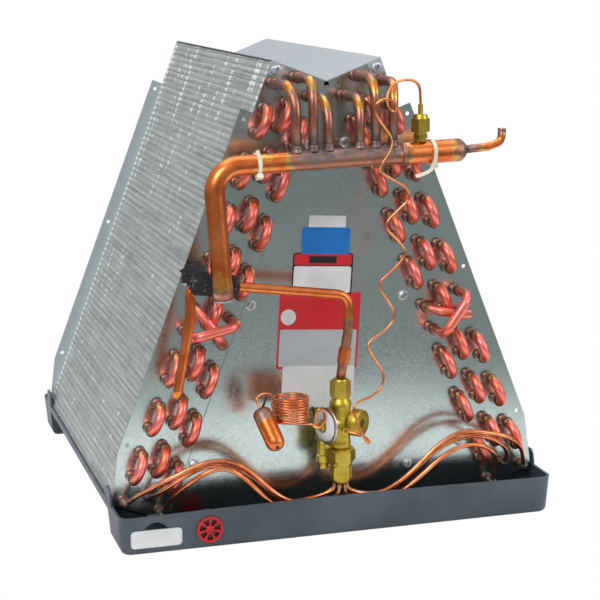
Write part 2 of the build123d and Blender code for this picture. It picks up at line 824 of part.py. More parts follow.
distributor_routes = {
    "left_outer_distributor_tube": (
        -1,
        0,
        3,
        [(-14, 42, 46.5), (-28, 38, 41.5), (-50, 38, 37), (-68, 38, 46), (-88, 38, 67), (-108, 38, 82),
         (-130, 38, 85), (-150, 37, 79), (-171, 34, 69), (-191, 27, 58), (-206, 17, 46)],
    ),
    "left_middle_distributor_tube": (
        -1,
        1,
        2,
        [(-11, 34, 44), (-26, 32, 36), (-48, 32, 31), (-66, 32, 41), (-86, 32, 61), (-107, 32, 75),
         (-130, 32, 79), (-152, 32, 72), (-171, 29, 60), (-183, 20, 49)],
    ),
    "left_inner_distributor_tube": (
        -1,
        2,
        4,
        [(-4.6, 47.2, 44.3), (-8.5, 43.6, 35), (-24, 42, 28.5), (-46, 42, 25), (-70, 42, 34), (-90, 44, 57), (-107, 45, 73),
         (-122, 45, 79), (-138, 44, 75), (-153, 38, 64), (-168, 22, 44)],
    ),
    "right_outer_distributor_tube": (
        1,
        0,
        0,
        [(10, 43, 45), (22, 40, 39.5), (42, 38, 37), (60, 38, 43), (79, 38, 57), (98, 38, 76),
         (118, 38, 88), (135, 38, 91), (158, 38, 87), (182, 36, 80), (198, 29, 66), (205, 18, 50)],
    ),
    "right_middle_distributor_tube": (
        1,
        1,
        1,
        [(7, 36, 40), (20, 32, 31), (42, 31, 30), (62, 31, 38), (81, 31, 53), (100, 31, 70),
         (122, 31, 81), (144, 31, 84), (165, 31, 79), (180, 28, 68), (187, 19, 55)],
    ),
    "right_inner_distributor_tube": (
        1,
        2,
        5,
        [(2.2, 46.8, 44), (6, 43, 34.5), (18, 43, 28.5), (40, 43, 28), (62, 43, 35), (83, 44, 51), (104, 45, 69),
         (126, 45, 79), (149, 42, 77), (166, 36, 65), (172, 22, 44)],
    ),
}
for tube_name, route in distributor_routes.items():
    branch_tube = distributor_tube(*route)
    with BuildPart() as distributor_branch:
        add(branch_tube)
    write(distributor_branch, tube_name)

# ---- sensing bulb and its capillary ----

bulb_diameter = 18.5
bulb_top = (-85.5, 54.0, 137.0)
bulb_foot = (-73.5, 77.0, 101.0)
hank_centre = (-52.8, 46.0)
hank_diameter = 37.5
hank_foot, hank_turns = 119.0, 9
hank_height = hank_turns * 3.0
turn_waist = 0.9
hank_sides = 20
capillary_radius = capillary_diameter / 2

bulb_axis = Vector(*ahead(*bulb_foot)) - Vector(*ahead(*bulb_top))
bulb_plane = Plane(origin=ahead(*bulb_top), z_dir=bulb_axis.normalized())
with BuildPart(bulb_plane) as sensing_bulb:
    with BuildSketch(bulb_plane):
        Circle(bulb_diameter / 2)
    extrude(amount=bulb_axis.length)
    chamfer(sensing_bulb.edges().filter_by(GeomType.CIRCLE), 3.0)
write(sensing_bulb, "sensing_bulb")

hank_plane = Plane(origin=ahead(hank_centre[0], hank_centre[1], hank_foot))
crest = hank_diameter / 2
head_stem = head_plane.origin - axis_turn * 12
bulb_lead = mitred_tube(
    [
        Vector(*ahead(*bulb_top)) - bulb_axis.normalized() * 0.9,
        ahead(bulb_top[0] + 2, bulb_top[1] - 4, bulb_top[2] + 9),
        ahead(hank_centre[0] - crest + 2, hank_centre[1], hank_foot + hank_height - 2),
    ],
    capillary_radius,
    6,
)
head_lead = mitred_tube(
    [
        ahead(hank_centre[0] + crest - 3, hank_centre[1] + 3, hank_foot + 4),
        head_stem - axis_turn * (capillary_radius + 0.1) + Vector(0, 0, 0.5),
    ],
    capillary_radius,
    6,
)
with BuildPart() as bulb_capillary:
    turn_rise = hank_height / hank_turns
    with BuildSketch(hank_plane):
        RegularPolygon(crest - turn_waist, hank_sides)
    extrude(amount=hank_height)
    for i in range(hank_turns):
        with BuildSketch(hank_plane.offset((i + 0.1) * turn_rise)):
            RegularPolygon(crest, hank_sides)
        extrude(amount=0.8 * turn_rise)
    with BuildSketch(hank_plane):
        RegularPolygon(crest - 4, hank_sides)
    extrude(amount=hank_height, mode=Mode.SUBTRACT)
    add(bulb_lead)
    add(head_lead)
write(bulb_capillary, "bulb_capillary")

# ---- equalizer: flare fitting on the header and a thin tube down to the valve ----

flare_x = 78.0
flare_base = header_point(flare_x)
flare_foot = flare_base[2] + sleeve_diameter / 2 - 0.4


def flare_plane(height):
    return Plane(origin=ahead(flare_x, flare_base[1], flare_foot + height))


sleeve_round = Plane(
    origin=ahead(*header_point(flare_x - 15)), z_dir=header_vector.normalized()
) * Cylinder(sleeve_diameter / 2, 30, align=(Align.CENTER, Align.CENTER, Align.MIN))

with BuildPart() as flare_fitting:
    with BuildSketch(flare_plane(0)):
        Circle(5.6)
    extrude(amount=9.5)
    with BuildSketch(flare_plane(3.2)):
        RegularPolygon(6.2, 6, major_radius=False)
    extrude(amount=4.2)
    add(sleeve_round, mode=Mode.SUBTRACT)
write(flare_fitting, "flare_fitting")

with BuildPart() as flare_nut:
    with BuildSketch(flare_plane(9.5)):
        RegularPolygon(8.2, 6, major_radius=False)
    extrude(amount=12.5)
    with BuildSketch(flare_plane(22)):
        Circle(7.4)
    extrude(amount=4.0, taper=12)
    with BuildSketch(flare_plane(26)):
        Circle(2.4)
    extrude(amount=9.5)
write(flare_nut, "flare_nut")

equalizer_route = [
    (78, 50, 431), (76, 51, 441), (66, 54, 446), (48, 59, 444), (40, 62, 434), (39, 65, 421),
    (45, 68, 416), (48, 71, 421), (43, 73, 428), (32, 72, 430), (23, 70, 422), (31, 68, 408),
    (43, 68, 393), (42, 70, 381), (33, 71, 370), (29, 68, 363), (42, 64, 354), (62, 60, 343),
    (66, 58, 333), (51, 56, 320), (38, 56, 307), (55, 56, 291), (63, 56, 279), (50, 56, 265),
    (31, 56, 251), (44, 56, 233), (52, 56, 219), (43, 56, 206), (21, 57, 195), (24, 60, 184),
    (38, 62, 164), (35, 63, 150), (24, 64, 142), (6, 66, 138), (4, 68, 129), (12, 71, 107),
    (18, 72, 97), (20, 71, 100), (12, 69, 107), (4, 66, 108), (-1.5, 61.4, 109),
]
equalizer_points = [ahead(flare_x, flare_base[1], flare_foot + 35.7), *[ahead(*p) for p in equalizer_route]]
equalizer_solid = mitred_tube(equalizer_points, capillary_radius, 4)
with BuildPart() as equalizer_tube:
    add(equalizer_solid)
write(equalizer_tube, "equalizer_tube")

# ---- cable ties round the header ----


def tie(x, round_diameter):
    """A closed strap with its square lock."""
    centre = ahead(*header_point(x))
    plane = Plane(origin=centre, x_dir=(0, 0, 1), z_dir=header_vector.normalized())
    with BuildPart(plane, mode=Mode.PRIVATE) as strap:
        with BuildSketch(plane):
            Circle(round_diameter / 2 + 1.3)
            Circle(round_diameter / 2 + running_gap, mode=Mode.SUBTRACT)
        extrude(amount=1.8, both=True)
        with BuildSketch(plane):
            with Locations(Location((0, 0), 60)):
                with Locations((0, round_diameter / 2 + 3.0)):
                    Rectangle(6.0, 4.2)
        extrude(amount=3.0, both=True)
    return strap.part


header_tie, sleeve_tie = tie(header_tie_x, header_diameter), tie(sleeve_tie_x, sleeve_diameter)
with BuildPart() as cable_ties:
    add(header_tie)
    add(sleeve_tie)
write(cable_ties, "cable_ties")

# ---- screws: hexagon washer heads, without the shanks that the sheets hide ----

with BuildPart() as screw_head:
    with BuildSketch():
        RegularPolygon(screw_head_width * 0.62, 10)
    extrude(amount=0.8)
    with BuildSketch(Plane.XY.offset(0.8)):
        RegularPolygon(screw_head_width / 2, 6, major_radius=False)
    extrude(amount=screw_head_height - 0.8)

plate_screw_xz = [slab_xz(u, slab_thickness + ear_width / 2) for u in ear_hole_us]
plate_screw_xz.append((lower_screw_x, lower_screw_z))
plate_outward = (front_face.offset(plate_thickness), Plane(
    origin=(0, coil_rear_y + plate_thickness, 0), x_dir=(-1, 0, 0), z_dir=(0, 1, 0)))
with BuildPart() as plate_screws:
    for plane in plate_outward:
        for side in (1, -1):
            for x, z in plate_screw_xz:
                add(plane.location * Pos(side * x, z, 0) * screw_head.part)
write(plate_screws, "plate_screws")

cap_screw_x, cap_screw_z = slab_xz(slab_length - top_hole_inset, tab_width / 2)
cap_outward = (front_face.offset(cap_thickness), Plane(
    origin=(0, coil_rear_y + cap_thickness, 0), x_dir=(-1, 0, 0), z_dir=(0, 1, 0)))
with BuildPart() as cap_screws:
    for plane in cap_outward:
        for side in (1, -1):
            add(plane.location * Pos(side * cap_screw_x, cap_screw_z, 0) * screw_head.part)
write(cap_screws, "cap_screws")
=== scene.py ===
"""Looks of the a-coil evaporator: camera, light, materials and the detail that the solids leave plain."""
import random
from math import ceil, cos, degrees, pi, radians, sin, tan
import bpy
from mathutils import Matrix, Vector


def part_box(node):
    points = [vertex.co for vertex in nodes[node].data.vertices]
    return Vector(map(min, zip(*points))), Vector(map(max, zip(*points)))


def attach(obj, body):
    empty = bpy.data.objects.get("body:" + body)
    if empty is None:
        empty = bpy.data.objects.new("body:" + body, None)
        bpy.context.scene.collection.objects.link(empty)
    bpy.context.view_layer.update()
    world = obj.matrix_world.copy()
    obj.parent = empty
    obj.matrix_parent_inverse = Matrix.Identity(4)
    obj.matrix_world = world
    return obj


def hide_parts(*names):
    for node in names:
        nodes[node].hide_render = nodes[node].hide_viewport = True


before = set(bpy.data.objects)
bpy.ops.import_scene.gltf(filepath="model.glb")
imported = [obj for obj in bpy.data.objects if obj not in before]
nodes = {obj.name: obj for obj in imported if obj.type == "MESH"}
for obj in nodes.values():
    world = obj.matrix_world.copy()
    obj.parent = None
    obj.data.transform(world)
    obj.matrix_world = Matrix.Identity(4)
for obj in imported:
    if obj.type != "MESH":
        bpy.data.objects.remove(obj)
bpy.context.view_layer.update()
random.seed(7)
MM = 0.001

# ---- the coil's own grid, in mm ----
TUBE_PITCH, ROW_PITCH, TUBES = 25.4, 19.05, 18
LEAN = radians(21.3)
FOOT_X, FOOT_Z = 220.9, 37.2
FRONT_Y, REAR_Y = -186.8, 229.9
SLAB, THICK = TUBE_PITCH * TUBES, ROW_PITCH * 3
TUBE_R = 4.765
PLATE_Y = FRONT_Y - 1.2
FIN_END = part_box("left_fin_pack")[1].y / MM
RIPPLE, FIN_PITCH, FINS_BENT_TOGETHER = 6.35, 1.8, 3.2


def slab_xz(u, v):
    return (FOOT_X - u * sin(LEAN) - v * cos(LEAN),
            FOOT_Z + u * cos(LEAN) - v * sin(LEAN))


def tube_uv(row, index):
    drop = 6.35 if row == 1 else 19.05
    return SLAB - index * TUBE_PITCH - drop, ROW_PITCH * (row + 0.5)


def ahead(x, reach, z):
    return Vector((x, FRONT_Y - reach, z))


# ---- camera ----
cam_data = bpy.data.cameras.new("camera")
cam_data.lens, cam_data.sensor_width = 101.98, 36
camera = bpy.data.objects.new("camera", cam_data)
bpy.context.scene.collection.objects.link(camera)
turn = (Matrix.Rotation(-0.286, 3, "Z") @ Matrix.Rotation(-0.199, 3, "X")
        @ Matrix.Rotation(0.009, 3, "Y"))
right, forward, up = turn.col[0], turn.col[1], turn.col[2]
pose = Matrix((right, up, -forward)).transposed().to_4x4()
pose.translation = Vector((-0.49115, -1.75992, 0.55956))
camera.matrix_world = pose
bpy.context.scene.camera = camera
bpy.context.scene.view_settings.view_transform = "Standard"


# ---- material helpers ----
def linear(rgb):
    """sRGB 0..255 to linear."""
    out = []
    for c in rgb:
        c = c / 255
        out.append(c / 12.92 if c <= 0.04045 else ((c + 0.055) / 1.055) ** 2.4)
    return (*out, 1.0)


def add_node(tree, kind, values=None, **settings):
    """A node with its settings, its constants and the sockets that feed it."""
    n = tree.nodes.new(kind)
    for key, value in settings.items():
        setattr(n, key, value)
    for key, value in (values or {}).items():
        if isinstance(value, bpy.types.NodeSocket):
            tree.links.new(value, n.inputs[key])
        else:
            n.inputs[key].default_value = value
    return n


def colour_ramp(tree, fac, stops):
    """Colours at positions: three numbers are sRGB 0..255, four are linear."""
    n = add_node(tree, "ShaderNodeValToRGB", {"Fac": fac})
    marks = n.color_ramp.elements
    marks[0].position, marks[-1].position = stops[0][0], stops[-1][0]
    for at, colour in stops[1:-1]:
        marks.new(at)
    for mark, (at, colour) in zip(marks, stops):
        mark.color = linear(colour) if len(colour) == 3 else colour
    return n.outputs["Color"]


class Paint:
    """A material with its nodes made one by one."""

    def __init__(self, name, rough=0.4, metal=0.0, colour=(128, 128, 128)):
        self.mat = bpy.data.materials.new(name)
        self.mat.use_nodes = True
        self.tree = self.mat.node_tree
        self.bsdf = self.tree.nodes["Principled BSDF"]
        self.bsdf.inputs["Roughness"].default_value = rough
        self.bsdf.inputs["Metallic"].default_value = metal
        self.bsdf.inputs["Base Color"].default_value = linear(colour)
        self.place = self.node("ShaderNodeTexCoord").outputs["Object"]

    def node(self, kind, values=None, **settings):
        return add_node(self.tree, kind, values, **settings)

    def finish(self, colour, rough=None, normal=None):
        for key, socket in (("Base Color", colour), ("Roughness", rough), ("Normal", normal)):
            if socket:
                self.tree.links.new(socket, self.bsdf.inputs[key])
        return self.mat

    def noise(self, scale, detail=3.0, rough=0.55, where=None):
        return self.node("ShaderNodeTexNoise", {
            "Vector": where or self.place, "Scale": scale, "Detail": detail,
            "Roughness": rough}).outputs["Fac"]

    def grey(self, fac, low, high, a=0.0, b=1.0):
        return self.node("ShaderNodeMapRange", {
            "Value": fac, "From Min": low, "From Max": high, "To Min": a, "To Max": b}).outputs[0]

    def mix(self, fac, a, b):
        a, b = (linear(c) if isinstance(c, tuple) else c for c in (a, b))
        return self.node("ShaderNodeMix", {0: fac, 6: a, 7: b}, data_type="RGBA").outputs[2]

    def bump(self, height, strength, distance, normal=None):
        values = {"Height": height, "Strength": strength, "Distance": distance}
        if normal:
            values["Normal"] = normal
        return self.node("ShaderNodeBump", values).outputs[0]

    def maths(self, op, a, b=0.5):
        return self.node("ShaderNodeMath", {0: a, 1: b}, operation=op).outputs[0]

    def plus(self, a, b):
        return self.maths("ADD", a, b)

    def times(self, a, b):
        return self.maths("MULTIPLY", a, b)

    def vector(self, op, values, out=0):
        return self.node("ShaderNodeVectorMath", values, operation=op).outputs[out]

    def attribute(self, name):
        return self.node("ShaderNodeAttribute", attribute_name=name).outputs["Fac"]


def galvanised(name, colour, dark, rough=0.17, stipple=1.0):
    """Zinc-coated sheet: a blurry mirror under a fine stipple of bright and dark pits."""
    p = Paint(name, rough, 1.0, colour)
    tint = p.noise(5, 3)
    pits = p.node("ShaderNodeTexVoronoi", {"Vector": p.place, "Scale": 620, "Randomness": 1.0})
    pit = p.grey(pits.outputs["Distance"], 0.0, 0.35, 1.0, 0.0)
    grain = p.noise(900, 3, 0.7)
    cells = p.node("ShaderNodeTexVoronoi", {"Vector": p.place, "Scale": 260, "Randomness": 1.0})
    cell = p.node("ShaderNodeSeparateColor", {"Color": cells.outputs["Color"]}).outputs[0]
    base = p.mix(p.grey(tint, 0.35, 0.65, 0.0, 0.6), colour, dark)
    base = p.mix(p.grey(cell, 0, 1, 0.0, 0.16), base, dark)
    base = p.mix(p.grey(grain, 0.56, 0.66, 0.0, 0.35 * stipple), base, (236, 240, 238))
    base = p.mix(p.grey(grain, 0.44, 0.34, 0.0, 0.35 * stipple), base, (96, 102, 100))
    gloss = p.plus(p.grey(cell, 0, 1, rough - 0.02, rough + 0.04), p.grey(grain, 0.3, 0.7, -0.03, 0.05))
    return p.finish(base, gloss, p.bump(pit, 0.16 * stipple, 0.0004, p.bump(p.noise(11, 2), 0.05, 0.004)))


def copper(name, colour, brown, rough=0.3, specks=0.5):
    """Copper that goes purple, brown and grey where the torch has been."""
    p = Paint(name, rough, 1.0, colour)
    broad = p.noise(38, 4, 0.6)
    fine = p.noise(1300, 2, 0.6)
    base = p.mix(p.grey(broad, 0.40, 0.62), colour, brown)
    base = p.mix(p.grey(fine, 0.60, 0.74, 0.0, specks), base, (252, 196, 170))
    heat = p.attribute("torch")
    burnt = p.plus(heat, p.grey(p.noise(120, 4), 0.3, 0.7, -0.16, 0.16))
    scale = colour_ramp(p.tree, burnt, [
        (0.0, colour), (0.20, (226, 158, 78)), (0.30, (188, 160, 92)), (0.40, (172, 112, 112)),
        (0.52, (176, 118, 88)), (0.68, (150, 124, 114)), (0.84, (120, 108, 106)), (1.0, (58, 50, 48))])
    base = p.mix(p.grey(burnt, 0.10, 0.26), base, scale)
    gloss = p.plus(p.grey(burnt, 0.3, 1.0, rough, 0.62), p.grey(fine, 0.3, 0.7, -0.05, 0.07))
    return p.finish(base, gloss, p.bump(p.noise(260, 3), 0.12, 0.0008))


def make_fins():
    """Edges of thin fins, bent into ripples that line up along the slab, with painted shade on the ripple
    slopes, in the troughs, between the fins and under the top cap, and bright nicks on the crests that are
    part painted glint.
    """
    p = Paint("fin_edges", 0.5, 0.4, (196, 200, 198))
    x, y, z = p.node("ShaderNodeSeparateXYZ", {"Vector": p.place}).outputs[:3]
    inward = p.maths("SUBTRACT", FOOT_X * MM, p.maths("ABSOLUTE", x))
    lift = p.maths("SUBTRACT", z, FOOT_Z * MM)
    u = p.plus(p.times(inward, sin(LEAN)), p.times(lift, cos(LEAN)))
    lines = p.maths("DIVIDE", u, RIPPLE * MM)
    fins = p.maths("DIVIDE", y, FIN_PITCH * MM)
    line_id = p.maths("FLOOR", p.plus(lines, 0.5))
    fin_id = p.maths("FLOOR", fins)
    crest = p.maths("ABSOLUTE", p.maths("SUBTRACT", lines, line_id))
    in_fin = p.maths("FRACT", fins)

    def dice(a, b=0.0, seed=0.0):
        both = p.node("ShaderNodeCombineXYZ", {"X": a, "Y": b, "Z": seed}).outputs[0]
        return p.node("ShaderNodeTexWhiteNoise", {"Vector": both}).outputs["Value"]

    flat = p.node("ShaderNodeCombineXYZ", {"X": y, "Y": u}).outputs[0]

    def lay(wide, tall, seed=0.0, detail=3):
        """Noise on the slab's face, with its own scale along and across the ripples."""
        spot = p.node("ShaderNodeMapping", {
            "Vector": flat, "Scale": (wide, tall, 1), "Location": (0, 0, seed)}).outputs[0]
        return p.noise(1.0, detail, 0.6, where=spot)

    wide_id = p.maths("FLOOR", p.maths("DIVIDE", fins, FINS_BENT_TOGETHER))
    per_line, per_fin, per_cell = dice(line_id), dice(fin_id, 3.0), dice(line_id, wide_id, 5.0)
    patch, column, streak = lay(9, 26), lay(70, 8, detail=2), lay(40, 900)
    twice = p.maths("FRACT", p.plus(p.times(lines, 2.0), 0.3))
    # painted shade: the ripple crests are lighter and their slopes darker, as light falls on the ripples
    base = p.mix(p.grey(crest, 0.10, 0.44), (206, 212, 211), (178, 184, 183))
    # painted shade: a dark, brownish line in each ripple's trough, stronger on some lines than on others
    trough_shade = p.times(p.grey(crest, 0.40, 0.49), p.grey(per_line, 0.1, 1.0, 0.05, 0.7))
    base = p.mix(trough_shade, base, (96, 92, 80))
    # painted shade: dark lines where the fins fold on the ripple slopes, broken up by the streaks
    fold_shade = p.times(p.grey(twice, 0.80, 1.0), p.grey(streak, 0.42, 0.62, 0.0, 0.55))
    base = p.mix(fold_shade, base, (112, 110, 102))
    base = p.mix(p.grey(streak, 0.40, 0.60, 0.0, 0.5), base, (158, 162, 160))
    base = p.mix(p.grey(patch, 0.52, 0.72, 0.0, 0.35), base, (148, 154, 154))
    base = p.mix(p.grey(lay(5, 150, 2.0), 0.46, 0.64, 0.0, 0.5), base, (130, 134, 132))
    base = p.mix(p.grey(lay(4, 1000, 4.0), 0.54, 0.64, 0.0, 0.7), base, (114, 109, 98))
    base = p.mix(p.grey(lay(12, 900, 6.0), 0.54, 0.66, 0.0, 0.65), base, (226, 230, 228))
    base = p.mix(p.grey(per_fin, 0.5, 1.0, 0.0, 0.3), base, (226, 230, 228))
    # painted shade: a dark band at the start of each fin's pitch, in the gap between fins
    base = p.mix(p.grey(in_fin, 0.25, 0.02, 0.0, 0.3), base, (104, 108, 106))
    # white nicks on the crests, part real nicks and part painted glint, with more of them towards the top
    upper = p.grey(u, 0.24, 0.36, 0.0, 0.26)
    hot = p.plus(p.plus(p.grey(column, 0.46, 0.72, -0.4, 0.46), p.grey(patch, 0.35, 0.7, -0.1, 0.16)),
                 p.plus(p.times(per_cell, 0.6), upper))
    nick_and_glint = p.times(p.times(p.grey(hot, 0.66, 0.78), p.grey(crest, 0.40, 0.26)),
                   p.grey(lay(260, 700, 8.0), 0.34, 0.48))
    wedge = p.grey(y, (FIN_END - 11) * MM, (FIN_END - 1) * MM, 0.0, 0.42)
    seam = p.grey(p.maths("SUBTRACT", wedge, crest), 0.0, 0.08)
    # white where nick_and_glint marks the crests (part painted glint) and where seam shows the rear sheet's
    # edge between the ripples
    base = p.mix(p.maths("MAXIMUM", nick_and_glint, seam), base, (255, 255, 252))
    # painted shadow: a dark band along the slab's top edge, in the gap under the top cap
    base = p.mix(p.grey(u, (SLAB - 1.5) * MM, (SLAB - 0.9) * MM), base, (40, 40, 40))
    # fins are cut edges standing on the slab, so the ripples shade less than a solid would
    face = p.node("ShaderNodeCombineXYZ", {
        "X": p.times(p.maths("SIGN", x), cos(LEAN)), "Z": sin(LEAN)}).outputs[0]
    shape = p.node("ShaderNodeNewGeometry").outputs["Normal"]
    agree = p.maths("SIGN", p.vector("DOT_PRODUCT", {0: shape, 1: face}, "Value"))
    calm = p.vector("SCALE", {0: p.vector("SCALE", {0: face, "Scale": agree}), "Scale": 1.9})
    calm = p.vector("NORMALIZE", {0: p.vector("ADD", {0: calm, 1: shape})})
    return p.finish(base, p.grey(nick_and_glint, 0, 1, 0.48, 0.65),
                    p.bump(p.plus(in_fin, p.times(per_cell, 0.5)), 0.2, 0.0005, calm))


def plastic(name, colour, rough=0.5, grain=900):
    p = Paint(name, rough, 0.0, colour)
    broad = p.noise(14, 4)
    lighter = tuple(min(255, c + 14) for c in colour)
    darker = tuple(max(0, c - 6) for c in colour)
    return p.finish(p.mix(p.grey(broad, 0.35, 0.65), darker, lighter),
                    p.grey(p.noise(60, 3), 0.3, 0.7, rough - 0.07, rough + 0.09),
                    p.bump(p.noise(grain, 2), 0.12, 0.0004))


def make_brass():
    p = Paint("brass", 0.34, 1.0, (206, 182, 74))
    return p.finish(p.mix(p.grey(p.noise(55, 4), 0.35, 0.65), (210, 186, 80), (176, 150, 56)),
                    p.grey(p.noise(300, 3), 0.3, 0.7, 0.3, 0.42), p.bump(p.noise(500, 3), 0.05, 0.0004))


def plain_metal(name, colour, rough):
    p = Paint(name, rough, 1.0, colour)
    shade = tuple(int(c * 0.8) for c in colour)
    return p.finish(p.mix(p.grey(p.noise(70, 3), 0.35, 0.65, 0, 0.5), colour, shade),
                    p.grey(p.noise(400, 3), 0.3, 0.7, rough - 0.06, rough + 0.08))


def paper(name, colour, rough=0.35):
    p = Paint(name, rough, 0.0, colour)
    shade = tuple(int(c * 0.93) for c in colour)
    p.bsdf.inputs["Coat Weight"].default_value = 0.25
    p.bsdf.inputs["Coat Roughness"].default_value = 0.25
    return p.finish(p.mix(p.grey(p.noise(30, 3), 0.35, 0.65), colour, shade))


def make_foam():
    p = Paint("foam", 0.85, 0.0, (24, 24, 26))
    pores = p.node("ShaderNodeTexVoronoi", {"Vector": p.place, "Scale": 900}).outputs["Distance"]
    shine = p.grey(p.noise(160, 4, 0.7), 0.58, 0.66)
    base = p.mix(p.grey(pores, 0.1, 0.6), (12, 12, 13), (38, 38, 40))
    return p.finish(p.mix(p.times(shine, 0.5), base, (150, 152, 154)), normal=p.bump(pores, 0.5, 0.0008))


M = {
    "galvanised": galvanised("galvanised_sheet", (200, 212, 210), (176, 190, 188)),
    "cap": galvanised("cap_sheet", (202, 209, 214), (192, 200, 206), rough=0.45, stipple=0.25),
    "bend": copper("bend_copper", (250, 138, 132), (238, 124, 96), 0.38, 0.15),
    "pipe": copper("pipe_copper", (236, 136, 78), (212, 108, 54), 0.28, 0.06),
    "thin": copper("thin_copper", (240, 158, 116), (204, 112, 66), 0.22, 0.1),
    "collar": copper("braze_collar", (190, 150, 136), (150, 128, 120), 0.3, 0.5),
    "fins": make_fins(),
    "pan": plastic("pan_plastic", (56, 67, 76), 0.42),
    "red": plastic("plug_plastic", (172, 8, 14), 0.32, 500),
    "tie": plastic("tie_nylon", (226, 222, 200), 0.35, 500),
    "brass": make_brass(),
    "steel": plain_metal("stainless", (196, 194, 190), 0.28),
    "zinc": plain_metal("zinc_screw", (214, 222, 226), 0.34),
    "rear": galvanised("rear_sheet", (206, 218, 219), (188, 200, 200), rough=0.4, stipple=0.6),
    "foam": make_foam(),
    "white": paper("white_label", (212, 214, 215)),
    "blue": paper("blue_label", (10, 112, 190)),
    "label_red": paper("red_label", (200, 26, 36)),
    "black": paper("black_label", (20, 20, 22)),
    "silver": paper("silver_edge", (172, 180, 184), 0.3),
}


# look and slot of what is made of the same stuff
PIPE, BEND, THIN = ("pipe", "pipe_copper"), ("bend", "bend_copper"), ("thin", "tube_copper")
BRASS, FOAM, TIE = ("brass", "brass"), ("foam", "foam"), ("tie", "tie_white")


def dress(node, key):
    """A CAD node keeps its shape and gets a better material."""
    ob = nodes[node]
    ob.data.materials.clear()
    ob.data.materials.append(M[key])


# ---- mesh helpers ----
def piece(name, verts, faces, key, slot, smooth=True, replaces=(), heat=None):
    """A new piece from points in mm."""
    mesh = bpy.data.meshes.new(name)
    mesh.from_pydata([tuple(c * MM for c in v) for v in verts], [], faces)
    mesh.materials.append(M[key])
    if heat is not None:
        layer = mesh.attributes.new("torch", "FLOAT", "POINT")
        layer.data.foreach_set("value", heat)
    if smooth:
        mesh.polygons.foreach_set("use_smooth", [True] * len(mesh.polygons))
    mesh.update()
    ob = bpy.data.objects.new(name, mesh)
    bpy.context.scene.collection.objects.link(ob)
    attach(ob, "root")
    if replaces:
        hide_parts(*replaces)
    return ob


def paint_faces(ob, key, indices):
    """A second material on some faces of a piece."""
    ob.data.materials.append(M[key])
    for i in indices:
        ob.data.polygons[i].material_index = 1


def skin(first, rings, steps):
    """Faces between rings of points that follow one another."""
    return [(r + k, r + (k + 1) % steps, r + steps + (k + 1) % steps, r + steps + k)
            for r in range(first, first + (rings - 1) * steps, steps) for k in range(steps)]


def hex_reach(flat_radius, angle):
    """How far a hexagon's side is from its axis, in one direction."""
    off = (angle + pi / 6) % (pi / 3) - pi / 6
    return flat_radius / cos(off)


def arc_path(points, bends, step=9.0):
    """Straight runs joined by tangent arcs."""
    pts = [Vector(p) for p in points]
    if not isinstance(bends, (list, tuple)):
        bends = [bends] * (len(pts) - 2)
    out = [pts[0]]
    for i, radius in enumerate(bends, 1):
        p = pts[i]
        a, b = (pts[i - 1] - p).normalized(), (pts[i + 1] - p).normalized()
        half = a.angle(b) / 2
        reach = min(radius / tan(half), (pts[i - 1] - p).length * 0.5, (pts[i + 1] - p).length * 0.5)
        radius = reach * tan(half)
        centre = p + (a + b).normalized() * (radius / sin(half))
        start, end = p + a * reach, p + b * reach
        r0, r1 = start - centre, end - centre
        sweep_angle = r0.angle(r1)
        steps = max(2, ceil(degrees(sweep_angle) / step))
        for k in range(steps + 1):
            t = k / steps
            out.append(centre + (r0 * sin((1 - t) * sweep_angle) + r1 * sin(t * sweep_angle))
                       / sin(sweep_angle))
    out.append(pts[-1])
    clean = [out[0]]
    for p in out[1:]:
        if (p - clean[-1]).length > 0.05:
            clean.append(p)
    return clean


def finely(path, step=8.0):
    """The same path with more points, for paint that changes along it."""
    out = [path[0]]
    for p in path[1:]:
        last = out[-1]
        cuts = max(1, int((p - last).length / step))
        out += [last + (p - last) * ((k + 1) / cuts) for k in range(cuts)]
    return out


def soft_path(points, cuts=7):
    """A smooth line that the points steer, as a bent thin tube has it."""
    pts = [Vector(p) for p in points]
    out = [pts[0]]
    for i in range(1, len(pts) - 1):
        a = pts[0] if i == 1 else (pts[i - 1] + pts[i]) / 2
        b = pts[-1] if i == len(pts) - 2 else (pts[i] + pts[i + 1]) / 2
        for k in range(1, cuts + 1):
            t = k / cuts
            out.append(a * (1 - t) ** 2 + pts[i] * 2 * t * (1 - t) + b * t ** 2)
    return out


